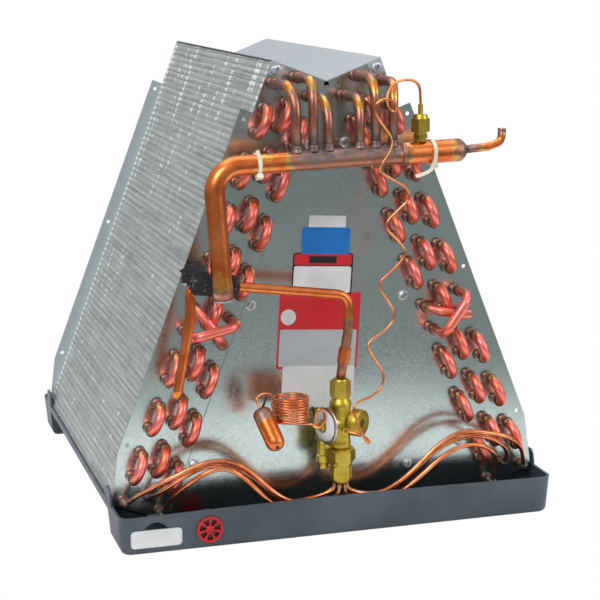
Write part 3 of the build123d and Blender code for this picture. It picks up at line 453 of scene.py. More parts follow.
def tubes(name, paths, radius, key, slot, sides=14, heat=None, replaces=(), paint=None, smear=None):
    """Round tubes along paths, as one piece. radius and heat may depend on (distance, whole length).
    paint is (distance, other material) for the start of each tube, and smear adds heat by place."""
    verts, faces, heats, early = [], [], [], []
    for path in paths:
        pts = [Vector(p) for p in path]
        n = len(pts)
        tangents = [(pts[min(n - 1, i + 1)] - pts[max(0, i - 1)]).normalized() for i in range(n)]
        side = tangents[0].orthogonal().normalized()
        runs = [0.0]
        for a, b in zip(pts, pts[1:]):
            runs.append(runs[-1] + (b - a).length)
        base = len(verts)
        for i in range(n):
            if i:
                side = (side - tangents[i] * side.dot(tangents[i])).normalized()
            other = tangents[i].cross(side)
            r = radius(runs[i], runs[-1]) if callable(radius) else radius
            h = heat(runs[i], runs[-1]) if callable(heat) else (heat or 0.0)
            for k in range(sides):
                angle = 2 * pi * k / sides
                verts.append(pts[i] + side * (r * cos(angle)) + other * (r * sin(angle)))
                heats.append(h + (smear(verts[-1], pts[i]) if smear else 0.0))
        if paint:
            early += range(len(faces), len(faces) + sides * sum(run <= paint[0] for run in runs[1:]))
        faces += skin(base, n, sides)
        for ring, centre, flip in ((0, pts[0], True), (n - 1, pts[-1], False)):
            hub = len(verts)
            verts.append(centre)
            heats.append(heats[base + ring * sides])
            for k in range(sides):
                k2 = (k + 1) % sides
                a, b = base + ring * sides + k, base + ring * sides + k2
                faces.append((hub, b, a) if flip else (hub, a, b))
    ob = piece(name, verts, faces, key, slot, replaces=replaces, heat=heats)
    if paint:
        paint_faces(ob, paint[1], early)
    return ob


def ribbon(name, path, width, thick, across, key, slot):
    """A flat strap along a path."""
    verts = []
    for i, p in enumerate(path):
        way = (path[min(i + 1, len(path) - 1)] - path[max(i - 1, 0)]).normalized()
        wide = (Vector(across) - way * Vector(across).dot(way)).normalized() * (width / 2)
        deep = way.cross(wide).normalized() * (thick / 2)
        verts += [p - wide - deep, p + wide - deep, p + wide + deep, p - wide + deep]
    ends = [(3, 2, 1, 0), tuple(len(path) * 4 - 4 + k for k in range(4))]
    return piece(name, verts, skin(0, len(path), 4) + ends, key, slot, smooth=False)


def lathe(name, profile, origin, axis, key, slot, sides=48, replaces=(), sharp=35, heat=None):
    """A turned piece: profile of (distance along the axis, radius)."""
    axis = Vector(axis).normalized()
    side = axis.orthogonal().normalized()
    other = axis.cross(side)
    origin = Vector(origin)
    verts = []
    for along, r in profile:
        for k in range(sides):
            a = 2 * pi * k / sides
            verts.append(origin + axis * along + side * (r * cos(a)) + other * (r * sin(a)))
    ends = [tuple(reversed(range(sides))), tuple((len(profile) - 1) * sides + k for k in range(sides))]
    heats = [heat(along) for along, r in profile for k in range(sides)] if heat else None
    ob = piece(name, verts, skin(0, len(profile), sides) + ends, key, slot, replaces=replaces, heat=heats)
    ob.data.set_sharp_from_angle(angle=radians(sharp))
    return ob


def slab_point(side, u, v, out, back=False):
    """A point in front of (or behind) a slab's end."""
    x, z = slab_xz(u, v)
    return Vector((side * x, (REAR_Y + out) if back else (FRONT_Y - out), z))


# ---- bends at the front ----
OUTER = (1, 3, 5, 7, 11, 13, 15)
MIDDLE = (1, 3, 5, 7, 9, 11, 13, 15)
pairs = [(row, i) for row, starts in ((0, OUTER), (1, MIDDLE), (2, OUTER)) for i in starts]


def u_bend(side, row, i, back=False, foot=-0.4):
    """Half a turn between tube i and tube i + 1 of one row, pushed into belled tube ends."""
    tilt = random.uniform(-0.5, 0.5)
    u, v = tube_uv(row, i)
    half = TUBE_PITCH / 2
    path = [slab_point(side, u, v, foot, back), slab_point(side, u, v, 7.0, back)]
    for k in range(1, 12):
        a = pi * k / 12
        path.append(slab_point(side, u - half + half * cos(a), v + tilt * sin(a),
                               7.0 + half * sin(a), back))
    path.append(slab_point(side, u - TUBE_PITCH, v, 7.0, back))
    path.append(slab_point(side, u - TUBE_PITCH, v, foot, back))
    return path


def bend_heat(s, whole):
    near = min(s, whole - s)
    return max(0.0, 0.40 - abs(near - 11.0) * 0.10)


for side, word in ((1, "right"), (-1, "left")):
    tubes(f"{word}_return_bend_tubes", [u_bend(side, r, i) for r, i in pairs], TUBE_R, *BEND, 16,
          bend_heat, (f"{word}_return_bends",))


def belled(s, whole):
    """The swelled mouth of a tube end, with its ring of braze."""
    return 5.25 if s < 7.4 else (5.8 if s < 9.4 else 5.2 - (s - 9.4) * 0.3)


def bell_heat(s, whole):
    """Pink up to the ring, nearly black on it and brown past it."""
    return 0.02 if s < 7.0 else (1.1 if s < 9.0 else 0.5)


def mouth(side, row, i):
    u, v = tube_uv(row, i)
    return [slab_point(side, u, v, t) for t in (-0.3, 2.0, 6.9, 7.2, 7.8, 8.6, 9.2, 9.8, 11.0)]


for side, word in ((1, "right"), (-1, "left")):
    ends = [(r, k) for r, i in pairs for k in (i, i + 1)]
    ends += [(0, 9), (0, 10), (2, 9), (2, 10), (0, 0), (1, 0), (2, 0)]
    tubes(f"{word}_belled_ends", [mouth(side, r, k) for r, k in ends], belled, "collar",
          "bend_copper", 16, bell_heat, paint=(6.8, "bend"))

# ---- hairpin ends at the back ----
for side, word in ((1, "right"), (-1, "left")):
    back_bends = [u_bend(side, row, i, True) for row in (0, 1, 2) for i in range(0, TUBES, 2)]
    tubes(f"{word}_hairpin_tubes", back_bends, TUBE_R, *BEND, 16, 0.0,
          (f"{word}_hairpin_ends",))


# ---- jumpers ----
def jumper_path(side, start, end, reach):
    (u0, v0), (u1, v1) = tube_uv(*start), tube_uv(*end)
    if reach > 30:
        steps = [(0, -0.4), (0, reach), (1, reach), (1, -0.4)]
    else:
        steps = [(0, -0.4), (0, 13), (0.25, reach - 2), (0.5, reach), (0.75, reach - 2), (1, 13), (1, -0.4)]
    pts = [slab_point(side, u0 + (u1 - u0) * t, v0 + (v1 - v0) * t, out) for t, out in steps]
    return arc_path(pts, 11)


def jumper_heat(s, whole):
    near = min(s, whole - s)
    return max(0.0, 0.45 - abs(near - 12.0) * 0.06)


OUTER_DOWN, INNER_DOWN = ((0, 9), (2, 10)), ((2, 9), (0, 10))
for name, side, ends, reach in (
        ("right_high_jumper", 1, OUTER_DOWN, 37.0), ("right_low_jumper", 1, INNER_DOWN, 25.5),
        ("left_high_jumper", -1, INNER_DOWN, 37.0), ("left_low_jumper", -1, OUTER_DOWN, 25.5)):
    tubes(name + "_tube", [jumper_path(side, *ends, reach)], TUBE_R, *BEND, 16,
          jumper_heat, (name,))

# ---- suction header ----
CORNER, END, OUTLET = (-131.0, 68.8, 372.0), (123.0, 46.2, 376.0), (-122.5, 67.0, 248.0)
HEADER_R, SLEEVE_R, SLEEVE_LENGTH, HEADER_BEND = 9.525, 11.1, 66.0, 24


def header_point(x):
    t = (x - CORNER[0]) / (END[0] - CORNER[0])
    return tuple(CORNER[k] + (END[k] - CORNER[k]) * t for k in range(3))


run = (ahead(*END) - ahead(*CORNER)).normalized()
sleeve_start = END[0] - SLEEVE_LENGTH
header_path = finely(arc_path(
    [ahead(*OUTLET), ahead(*CORNER), ahead(*header_point(sleeve_start + 4))], HEADER_BEND, 5))


def header_heat(s, whole):
    return max(0.0, 0.46 - s * 0.014)


def header_smear(p, centre):
    """Grey and brown flux along the top, between the feeders, and soot over the outlet."""
    top = (p - centre).dot(Vector((0, -0.35, 0.94))) / HEADER_R
    if p.z > 355 and -66 < p.x < 66:
        return (0.52 + 0.22 * max(0.0, min(1.0, top * 1.5))) * min(1.0, (p.x + 66) / 18)
    if p.z > 355 and p.x < -66:
        return 0.27 * max(0.0, 1 - abs(p.x + 84) / 18)
    return 0.0


tubes("suction_header_pipe", [header_path], HEADER_R, *PIPE, 32, header_heat,
      ("suction_header",), smear=header_smear)

sleeve_at = ahead(*header_point(sleeve_start))
sleeve_path = [sleeve_at + run * t for t in (0, 0.8, 2, 10, 22, 34, 46, 56, 62, 64, 66.0, 67.5)]


def sleeve_radius(s, whole):
    if s < 0.9:
        return SLEEVE_R - 1.0
    return SLEEVE_R if s < 63 else SLEEVE_R - (s - 63) * 0.9


def sleeve_heat(s, whole):
    return max(0.0, 0.6 - s * 0.05) if s < 30 else max(0.0, 0.85 - (whole - s) * 0.045)


tubes("header_sleeve_pipe", [sleeve_path], sleeve_radius, *PIPE, 32, sleeve_heat,
      ("header_sleeve",))
stub = arc_path([ahead(*END) - run * 1, ahead(END[0] + 27, END[1] - 2, END[2] + 1.5),
                 ahead(END[0] + 41.5, END[1] - 3, END[2] + 6),
                 ahead(END[0] + 42, END[1] - 3, END[2] + 18)], 9)
tubes("process_stub_pipe", [stub], 4.0, *PIPE, 18,
      lambda s, w: max(0.95 - s * 0.06, 0.95 - (w - s) * 0.12, 0.1), ("process_stub",))
lathe("process_stub_end", [(-0.3, 3.95), (0.4, 4.2), (0.9, 4.0), (0.95, 2.9), (-3.0, 2.8)],
      stub[-1], stub[-1] - stub[-2], "collar", "pipe_copper", 24)

# ---- feeders ----
FEEDERS = {"left_outer_feeder": (-1, 0, -48), "left_middle_feeder": (-1, 1, -32),
           "left_inner_feeder": (-1, 2, -16.5), "right_inner_feeder": (1, 2, 15),
           "right_middle_feeder": (1, 1, 31.5), "right_outer_feeder": (1, 0, 49)}


def feeder_heat(s, whole):
    return max(0.34 + 0.14 * sin(s * 0.21), 0.84 - (whole - s) * 0.03, 0.66 - s * 0.03)


entries = []
for name, (side, row, entry_x) in FEEDERS.items():
    x, z = slab_xz(*tube_uv(row, 0))
    foot = header_point(entry_x)
    pts = [ahead(side * x, -0.4, z), ahead(side * x, foot[1] * 0.80, z + 1),
           ahead(side * x * 0.25 + entry_x * 0.75, foot[1] * 0.99, z - 14),
           ahead(entry_x, foot[1], foot[2] + HEADER_R - 1.5)]
    path = arc_path(pts, [14, 22])
    tubes(name + "_tube", [path], TUBE_R, *PIPE, 16, feeder_heat, (name,))
    entries.append(path[-1])
fillets = [[at + Vector((0, 0, t)) for t in (0.0, 1.2, 2.2, 3.4, 5.0, 6.5)] for at in entries]
tubes("braze_fillets", fillets, lambda s, w: 5.0 + max(0.0, 1.3 - s * 0.42), *PIPE, 20,
      lambda s, w: 0.8)
outlet_axis = ahead(*OUTLET) - ahead(*CORNER)
lathe("suction_outlet_cap",
      [(-0.4, 9.3), (0.0, 9.75), (1.2, 9.75), (1.6, 9.3), (1.7, 8.2), (1.2, 7.6), (1.2, 0.5)],
      ahead(*OUTLET), outlet_axis, "zinc", "pipe_copper", 40)
lathe("suction_outlet_bead", [(0.6, 1.9), (1.6, 2.4), (2.6, 2.2), (3.3, 1.4), (3.6, 0.3)],
      ahead(OUTLET[0] + 1.0, OUTLET[1] + 2.0, OUTLET[2]), outlet_axis, "white", "zinc", 20)

# ---- liquid line ----
VALVE_X, VALVE_REACH, VALVE_TOP = -1.5, 44.0, 157.7
liquid = arc_path([ahead(-164, 44, 151), ahead(-148.5, 44, 232), ahead(-150.5, 44, 261.5),
                   ahead(8.5, 44, 239.5), ahead(6.5, 44.5, 205),
                   ahead(VALVE_X + 0.5, VALVE_REACH - 0.5, VALVE_TOP + 0.85)], [60, 12, 14, 60], 7)
liquid = finely(liquid)


def liquid_heat(s, whole):
    from_end = whole - s
    joint = max(0.0, 0.5 - max(0.0, abs(from_end - 24) - 12) * 0.012)
    return max(joint, max(0.0, 0.15 - s * 0.01))


tubes("liquid_line_pipe", [liquid], TUBE_R, *PIPE, 22, liquid_heat, ("liquid_line",))
# a black disc on the tube's open end: painted shade inside the bore
tubes("liquid_line_mouth_shade", [[liquid[0] + (liquid[1] - liquid[0]).normalized() * t for t in (-0.15, 0.0)]],
      4.6, "black", "pipe_copper", 20)

# ---- distributor tubes ----
ROUTES = {
    "left_outer_distributor_tube": (-1, 0, 3, [
        (-11, 43, 44), (-25, 39, 38), (-50, 38, 34), (-68, 38, 46), (-88, 38, 67), (-108, 38, 82),
        (-130, 38, 85), (-150, 37, 79), (-171, 34, 69), (-191, 27, 58), (-206, 17, 46)]),
    "left_middle_distributor_tube": (-1, 1, 2, [
        (-9, 35, 41), (-24, 32, 32), (-48, 32, 29), (-66, 32, 41), (-86, 32, 61), (-107, 32, 75),
        (-130, 32, 79), (-152, 32, 72), (-171, 29, 60), (-183, 20, 49)]),
    "left_inner_distributor_tube": (-1, 2, 4, [
        (-4.6, 47.2, 44.3), (-8.5, 43.6, 35), (-24, 42, 28.5), (-46, 42, 25), (-70, 42, 34), (-90, 44, 57),
        (-107, 45, 73), (-122, 45, 79), (-138, 44, 75), (-153, 38, 64), (-168, 22, 44)]),
    "right_outer_distributor_tube": (1, 0, 0, [
        (8, 43, 43), (22, 40, 37), (42, 38, 35), (60, 38, 43), (79, 38, 57), (98, 38, 76),
        (118, 38, 88), (135, 38, 91), (158, 38, 87), (182, 36, 80), (198, 29, 66), (205, 18, 50)]),
    "right_middle_distributor_tube": (1, 1, 1, [
        (7, 36, 40), (20, 32, 31), (42, 31, 30), (62, 31, 38), (81, 31, 53), (100, 31, 70),
        (122, 31, 81), (144, 31, 84), (165, 31, 79), (180, 28, 68), (187, 19, 55)]),
    "right_inner_distributor_tube": (1, 2, 5, [
        (2.2, 46.8, 44), (6, 43, 34.5), (18, 43, 28.5), (40, 43, 28), (62, 43, 35), (83, 44, 51),
        (104, 45, 69), (126, 45, 79), (149, 42, 77), (166, 36, 65), (172, 22, 44)]),
}
stubs = []
for name, (side, row, index, middle) in ROUTES.items():
    x, z = slab_xz(*tube_uv(row, TUBES - 1))
    t = radians(60 * index)
    start = (VALVE_X + 6 * cos(t), VALVE_REACH - 6 * sin(t), 52)
    pts = [start, (start[0], start[1], 49), *middle, (side * x, 9.0, z)]
    path = soft_path([ahead(*p) for p in pts], 6)
    tubes(name + "_line", [path], 2.38, *THIN, 12,
          lambda s, w: max(0.0, 0.5 - s * 0.03, 0.9 - (w - s) * 0.035), (name,))
    away = (path[-3] - path[-1]).normalized()
    stubs.append([ahead(side * x, -0.3, z), ahead(side * x, 6, z), ahead(side * x, 8.5, z),
                  ahead(side * x, 10, z) + away * 1.0, ahead(side * x, 11, z) + away * 3.0])
tubes("inlet_stubs", stubs, lambda s, w: 5.0 if s < 8.8 else max(2.9, 5.0 - (s - 8.8) * 0.45), "collar",
      "bend_copper", 14, lambda s, w: 0.45 + s * 0.03)

# ---- equalizer tube ----
FLARE_X = 78.0
flare_base = header_point(FLARE_X)
flare_foot = flare_base[2] + SLEEVE_R - 0.4
EQUALIZER = [
    (78, 50, 431), (76, 51, 441), (66, 54, 446), (48, 59, 444), (40, 62, 434), (39, 65, 421),
    (45, 68, 416), (48, 71, 421), (43, 73, 428), (32, 72, 430), (23, 70, 422), (31, 68, 408),
    (43, 68, 393), (42, 70, 381), (33, 71, 370), (29, 68, 363), (42, 64, 354), (62, 60, 343),
    (66, 58, 333), (51, 56, 320), (38, 56, 307), (55, 56, 291), (63, 56, 279), (50, 56, 265),
    (31, 56, 251), (44, 56, 233), (52, 56, 219), (43, 56, 206), (21, 57, 195), (24, 60, 184),
    (38, 62, 164), (35, 63, 150), (24, 64, 142), (6, 66, 138), (4, 68, 129), (12, 71, 107),
    (18, 72, 97), (20, 71, 100), (12, 69, 107), (4, 66, 108), (-1.5, 61.4, 109)]
eq_points = [ahead(FLARE_X, flare_base[1], flare_foot + 35.2)] + [ahead(*p) for p in EQUALIZER]
tubes("equalizer_line", [soft_path(eq_points, 6)], 1.3, *THIN, 8,
      lambda s, w: 0.12, ("equalizer_tube",))

# ---- sensing bulb and its capillary ----
bulb_top, bulb_foot = ahead(-85.5, 54, 137), ahead(-73.5, 77, 101)
bulb_axis = (bulb_foot - bulb_top).normalized()
length = (bulb_foot - bulb_top).length
lathe("sensing_bulb_body",
      [(0, 3.0), (0.6, 5.4), (2.0, 7.6), (4.4, 9.0), (8, 9.25), (13, 9.25), (14.2, 9.25), (length - 9, 9.25),
       (length - 6.5, 8.9), (length - 4.2, 7.9), (length - 2.2, 6.2), (length - 0.9, 4.2),
       (length - 0.2, 2.0), (length, 0.6)],
      bulb_top, bulb_axis, *PIPE, 40, ("sensing_bulb",), 35,
      lambda along: 0.62 if along < 13.5 else 0.04)
hank_x, hank_reach, hank_foot = -52.8, 46.0, 119.0
coil = []
turns, per = 9, 26
for k in range(turns * per + 1):
    a = 2 * pi * k / per + 2.9
    ring = k // per
    r = 17.4 + 0.5 * sin(ring * 2.1 + 0.6) + 0.25 * sin(a * 2 + ring)
    coil.append(ahead(hank_x + r * cos(a), hank_reach - r * sin(a),
                      hank_foot + 25.6 - (24.0 / turns) * k / per))
turn_axis = Vector((cos(radians(20)), sin(radians(20)), 0))
valve_side = ahead(VALVE_X, VALVE_REACH, 113.5)
head_stem = valve_side - turn_axis * 26
lead_in = soft_path([bulb_top + bulb_axis * 1.0, bulb_top - bulb_axis * 6, ahead(-88, 50, 147),
                     ahead(-80, 46, 150), ahead(-71, 42, 147), coil[0]], 7)
lead_out = soft_path([coil[-1], coil[-1] + (coil[-1] - coil[-2]) * 2, ahead(-40, 50, 117),
                      head_stem + Vector((-2, -3, 3)), head_stem + turn_axis * 1.5], 7)
tubes("bulb_capillary_line", [lead_in[:-1] + coil + lead_out[1:]], 1.2, *THIN, 8,
      lambda s, w: 0.1, ("bulb_capillary",))
tubes("bulb_pin", [[bulb_top + Vector((2.0, -2.0, 1.0)), bulb_top + Vector((4.6, -2.6, 7.5)),
                    bulb_top + Vector((6.6, -3.0, 13.5))]], lambda s, w: 1.3 - s * 0.03, *FOAM, 10)

# ---- power head, valve and brass fittings ----
head_at = valve_side - turn_axis * 14
lathe("power_head_disc",
      [(0, 9.0), (0.6, 9.4), (2.0, 12.0), (2.6, 16.6), (3.0, 18.3), (3.5, 18.7), (4.1, 18.7), (4.6, 18.2),
       (4.9, 16.6), (4.9, 15.2), (5.4, 14.6), (6.6, 12.8), (7.7, 10.2), (8.4, 8.0), (8.7, 4.0), (8.7, 3.0),
       (11.6, 2.8), (12.0, 2.0)],
      head_at, -turn_axis, "steel", "steel", 56, ("power_head",))
lathe("power_head_knob", [(8.4, 4.6), (9.0, 5.2), (10.6, 5.2), (11.2, 4.6), (11.4, 2.0)],
      head_at, -turn_axis, *BRASS, 32)


def hexagon(name, across, low, high, where, axis, key, slot, spin=0.0, bevel=1.0, replaces=()):
    """A nut: six flats with its corners turned down at both ends."""
    axis = Vector(axis).normalized()
    side = Vector((0, 0, 1)) if abs(axis.z) < 0.5 else Vector((1, 0, 0))
    side = (side - axis * side.dot(axis)).normalized()
    other = axis.cross(side)
    verts, steps = [], 24
    rings = [(low, 0), (low + bevel * 0.55, 1), (high - bevel * 0.55, 1), (high, 0)]
    for along, full in rings:
        for k in range(steps):
            a = 2 * pi * k / steps
            r = hex_reach(across / 2, a)
            r = r if full else min(r, across / 2 * 1.005)
            b = a + spin
            verts.append(Vector(where) + axis * along + side * (r * cos(b)) + other * (r * sin(b)))
    ends = [tuple(reversed(range(steps))), tuple((len(rings) - 1) * steps + k for k in range(steps))]
    return piece(name, verts, skin(0, len(rings), steps) + ends, key, slot, smooth=False,
                 replaces=replaces)


# ---- refined valve: turned necks, nuts with turned-down corners, the round side cap ----
valve_at = ahead(VALVE_X, VALVE_REACH, 0)
UP = Vector((0, 0, 1))
hexagon("inlet_nut_hex", 18.0, 139.0, 156.2, valve_at, UP, *BRASS, 0.25, 2.0, ("valve_inlet_nut",))
lathe("inlet_nut_collar", [(155.6, 8.2), (157.7, 7.4), (158.2, 5.6)], valve_at, UP, *BRASS, 36)
lathe("body_shoulder",
      [(126.0, 8.2), (127.5, 10.4), (131.0, 10.8), (134.6, 10.6), (137.0, 8.8), (139.6, 8.0)],
      valve_at, UP, *BRASS, 40)
lathe("body_waist", [(88.0, 9.0), (90.5, 10.3), (93.0, 10.3), (96.0, 9.8)], valve_at, UP, *BRASS, 40)
hexagon("outlet_flange", 26.0, 75.2, 87.6, valve_at, UP, *BRASS, 0.4, 2.6)
lathe("outlet_nut_round",
      [(53.2, 7.6), (54.6, 9.2), (56.4, 10.2), (62.0, 10.4), (63.0, 10.2), (70.0, 10.2), (71.4, 11.2),
       (75.6, 11.4)], valve_at, UP, *BRASS, 48, ("valve_outlet_nut", "distributor"))
cap_axis = Vector((cos(radians(50)), -sin(radians(50)), 0))
cap_at = ahead(VALVE_X + 12.5, VALVE_REACH + 2.5, 113.5)
lathe("side_cap_neck", [(0, 8.4), (14.5, 8.4)], valve_side, cap_at - valve_side, *BRASS, 32)
lathe("side_cap_round",
      [(-2.0, 8.0), (0.0, 9.4), (0.2, 12.8), (0.9, 13.4), (9.4, 13.4), (10.2, 12.9), (10.6, 12.0),
       (10.6, 4.4), (8.8, 4.0), (8.8, 0.5)], cap_at, cap_axis, *BRASS, 56, ("valve_side_cap",))
hexagon("outlet_nut_hex", 19.2, 57.0, 69.5, valve_at, UP, *BRASS, 0.1, 1.6)
# black on the floor of the side cap's recess: painted shade in the hole
lathe("side_cap_recess_shade", [(8.85, 3.9), (9.05, 3.7), (9.05, 2.2), (8.85, 0.4)], cap_at, cap_axis,
      "black", "brass", 28)
lathe("service_nipple",
      [(8.5, 2.2), (15.0, 2.6), (15.6, 3.4), (17.2, 3.4), (17.6, 2.4), (17.6, 1.2), (15.0, 1.0)],
      ahead(VALVE_X, VALVE_REACH, 109.0), Vector((0, -1, 0)), *BRASS, 28)
port_x, port_reach = -17.0, 36.0
lathe("side_port",
      [(66.0, 3.6), (67.0, 5.4), (72.0, 5.8), (73.0, 6.6), (80.0, 6.6), (81.0, 5.4), (93.0, 5.2),
       (95.5, 4.0)],
      ahead(port_x, port_reach, 0), UP, *BRASS, 36)
tubes("side_port_arm",
      [soft_path([ahead(port_x, port_reach, 89), ahead(-9, 40, 88.5), ahead(-2, 43.5, 88)], 6)],
      4.2, *BRASS, 20)
lathe("power_head_face", [(5.1, 15.1), (5.65, 14.5), (6.85, 12.6), (7.95, 10.0), (8.7, 7.6), (8.5, 7.0)],
      head_at, -turn_axis, "white", "steel", 48)
loop = [head_stem + Vector(p) for p in (
    (1.0, 0, 0), (-3.5, -2, 5), (-5, -3, 14), (-1, -4, 20), (4, -5, 16), (3.5, -6, 6), (-1, -4, -2),
    (-7, 0, 2))]
tubes("power_head_loop", [soft_path(loop, 8)], 1.2, *THIN, 8, 0.1)
ribbon("power_head_strap", soft_path([ahead(-26, 30, 128), ahead(-23.5, 31, 118), ahead(-23, 31, 104),
                                      ahead(-25.5, 30, 95)], 5), 3.2, 1.0, (0, 1, 0), *FOAM)
to_front = Vector((-0.2, -0.95, 0.1))
to_front = (to_front - bulb_axis * to_front.dot(bulb_axis)).normalized()
# a small black spot in the bulb's dimple: painted shade in the dent
lathe("bulb_dimple_shade", [(-2.0, 1.6), (-0.6, 2.0), (0.35, 2.0), (0.5, 1.6), (0.2, 0.4)],
      bulb_top + bulb_axis * (length - 1.9) + to_front * 5.6, bulb_axis * 0.8 + to_front * 0.6,
      "black", "pipe_copper", 24)

# ---- screws: hexagon washer heads with a slot ----
plate_spots = [slab_xz(u, THICK + 6.35) for u in (61.3, SLAB / 2, SLAB - 61.3)] + [(83.6, 51.7)]
cap_x, cap_z = slab_xz(SLAB - 6.9, 7.5)
HEAD_RINGS = (  # height over the sheet, radius, hexagonal or round
    (0.0, 5.3, False), (0.7, 5.2, False), (1.0, 4.2, False), (1.05, 4.0, True), (3.0, 4.0, True),
    (3.6, 3.4, True))
SLOT_OUTLINE = ((-2.9, -0.45), (2.9, -0.45), (2.9, 0.45), (-2.9, 0.45))


def screw_set(name, spots, key, slot, replaces, steps=24):
    """Hexagon heads on washers, each with a slot painted black as its shade, for spots (x, y, z, way out
    along y, spin).
    """
    verts, faces, slot_shade_faces = [], [], []
    for x, y, z, way, spin in spots:
        base = Vector((x, y, z))
        first = len(verts)
        for out, r, flats in HEAD_RINGS:
            for k in range(steps):
                a = 2 * pi * k / steps
                reach = hex_reach(r, a) if flats else r
                verts.append(base + Vector((reach * cos(a + spin), way * out,
                                            reach * sin(a + spin))))
        faces += skin(first, len(HEAD_RINGS), steps)
        faces.append(tuple(len(verts) - steps + k for k in range(steps)))
        slot_at = len(verts)
        ca, sa = cos(spin + 0.4), sin(spin + 0.4)
        for lift in (3.0, 3.68):
            for a, b in SLOT_OUTLINE:
                verts.append(base + Vector((a * ca - b * sa, way * lift, a * sa + b * ca)))
        slot_shade_faces += range(len(faces), len(faces) + 5)
        faces.append(tuple(slot_at + 4 + k for k in range(4)))
        faces += skin(slot_at, 2, 4)
    ob = piece(name, verts, faces, key, slot, smooth=False, replaces=replaces)
    # the slot is a thin black box on the head: painted shade where the slot is cut
    paint_faces(ob, "black", slot_shade_faces)


screw_set("plate_screw_heads", [(side * x, y, z, way, random.uniform(0, 1)) for x, z in plate_spots
                                for side in (1, -1) for y, way in ((PLATE_Y, -1), (REAR_Y + 1.2, 1))],
          "zinc", "zinc", ("plate_screws",))
screw_set("cap_screw_heads", [(side * cap_x, y, cap_z, way, random.uniform(0, 1)) for side in (1, -1)
                              for y, way in ((FRONT_Y - 1.0, -1), (REAR_Y + 1.0, 1))],
          "zinc", "zinc", ("cap_screws",))

# ---- red plug: a wheel with seven pockets ----
plug_x, plug_y, plug_z = -135.9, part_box("secondary_drain_plug")[0].y / MM, 20.4
POCKETS, POCKET_NEAR, POCKET_FAR, POCKET_DEEP = 7, 4.2, 10.6, 3.8
PLUG_R, PLUG_RIM = 13.0, 3.95


def wheel_cell(a0, a1, r0, r1, n=6):
    """Outline of one pocket, or of one sector of the wheel: along the inner arc and back along the outer."""
    angles = [a0 + (a1 - a0) * k / n for k in range(n + 1)]
    return ([(r0 * cos(a), r0 * sin(a)) for a in angles]
            + [(r1 * cos(a), r1 * sin(a)) for a in reversed(angles)])


verts, faces, pocket_shade_floors = [], [], []
for j in range(POCKETS):
    mid, half = 2 * pi * j / POCKETS + 0.2, pi / POCKETS
    cell = wheel_cell(mid - half + 0.13, mid + half - 0.13, POCKET_NEAR, POCKET_FAR)
    sector = wheel_cell(mid - half, mid + half, 0.02, PLUG_R)
    n = len(cell)
    top = len(verts)
    deep, skirt, outer = top + 2 * n, top + 3 * n, n // 2
    for outline, back in ((sector, 0), (cell, 0), (cell, POCKET_DEEP), (sector[outer:], PLUG_RIM)):
        verts += [(plug_x + x, plug_y + back, plug_z + z) for x, z in outline]
    faces += skin(top, 3, n)
    pocket_shade_floors.append(len(faces))
    faces.append(tuple(deep + k for k in range(n)))
    for k in range(outer - 1):
        faces.append((top + outer + k, top + outer + k + 1, skirt + k + 1, skirt + k))
plug = piece("drain_plug_wheel", verts, faces, "red", "plug_red", smooth=False,
             replaces=("secondary_drain_plug",))
# the pocket floors are painted black: painted shade inside the pockets
paint_faces(plug, "black", pocket_shade_floors)
lathe("drain_plug_barrel", [(3.9, 12.9), (4.0, 12.1), (14.0, 12.0), (14.4, 11.0)],
      (plug_x, plug_y, plug_z), Vector((0, 1, 0)), "red", "plug_red", 40)
lathe("drain_plug_hub", [(-0.9, 0.4), (-0.9, 2.2), (-0.6, 2.6), (0.3, 3.4)],
      (plug_x, plug_y, plug_z), Vector((0, 1, 0)), "red", "plug_red", 24)

# ---- foam tape, wound by hand and torn ----
t0, t1 = ahead(-150.0, 44, 261.0), ahead(-101.5, 44.0, 254.5)
way = (t1 - t0).normalized()
flat = way.orthogonal().normalized()
flat2 = way.cross(flat)
verts, rings, spokes = [], 20, 40
for i in range(rings):
    f = i / (rings - 1)
    centre = t0 + (t1 - t0) * f
    for k in range(spokes):
        a = 2 * pi * k / spokes
        wrap = 0.9 * (((a / (2 * pi)) + f * 2.0) % 1.0)
        lumps = 0.6 * sin(a * 3 + i * 0.7) * sin(i * 1.3)
        r = 10.2 + wrap + lumps + random.uniform(-0.15, 0.15)
        if i in (0, rings - 1):
            r = 5.2
        elif i in (1, rings - 2):
            r -= 0.9
        verts.append(centre + flat * (r * cos(a)) + flat2 * (r * sin(a)))
piece("foam_tape_wrap", verts, skin(0, rings, spokes), *FOAM, replaces=("foam_tape",))
ribbon("foam_tape_flap", soft_path([ahead(-146, 53, 262), ahead(-145, 55, 268), ahead(-146, 52, 275),
                                    ahead(-150, 48, 279)], 5), 26, 1.6, (1, 0, -0.25), *FOAM)

# ---- labels: plain coloured fields, bare of words ----
LABEL_TILT = radians(-3.8)


def rounded(x0, x1, z0, z1, corner):
    """Outline of a rectangle with round corners."""
    outline = []
    for x, z, start in ((x1 - corner, z1 - corner, 0), (x0 + corner, z1 - corner, 90),
                        (x0 + corner, z0 + corner, 180), (x1 - corner, z0 + corner, 270)):
        for k in range(5):
            a = radians(start + 22.5 * k)
            outline.append((x + corner * cos(a), z + corner * sin(a)))
    return outline


def leaf(name, front, back, key, slot):
    """A thin flat piece between two outlines with the same number of points."""
    n = len(front)
    faces = [tuple(range(n)), tuple(reversed(range(n, 2 * n)))]
    faces += [(k, n + k, n + (k + 1) % n, (k + 1) % n) for k in range(n)]
    return piece(name, front + back, faces, key, slot, smooth=False)


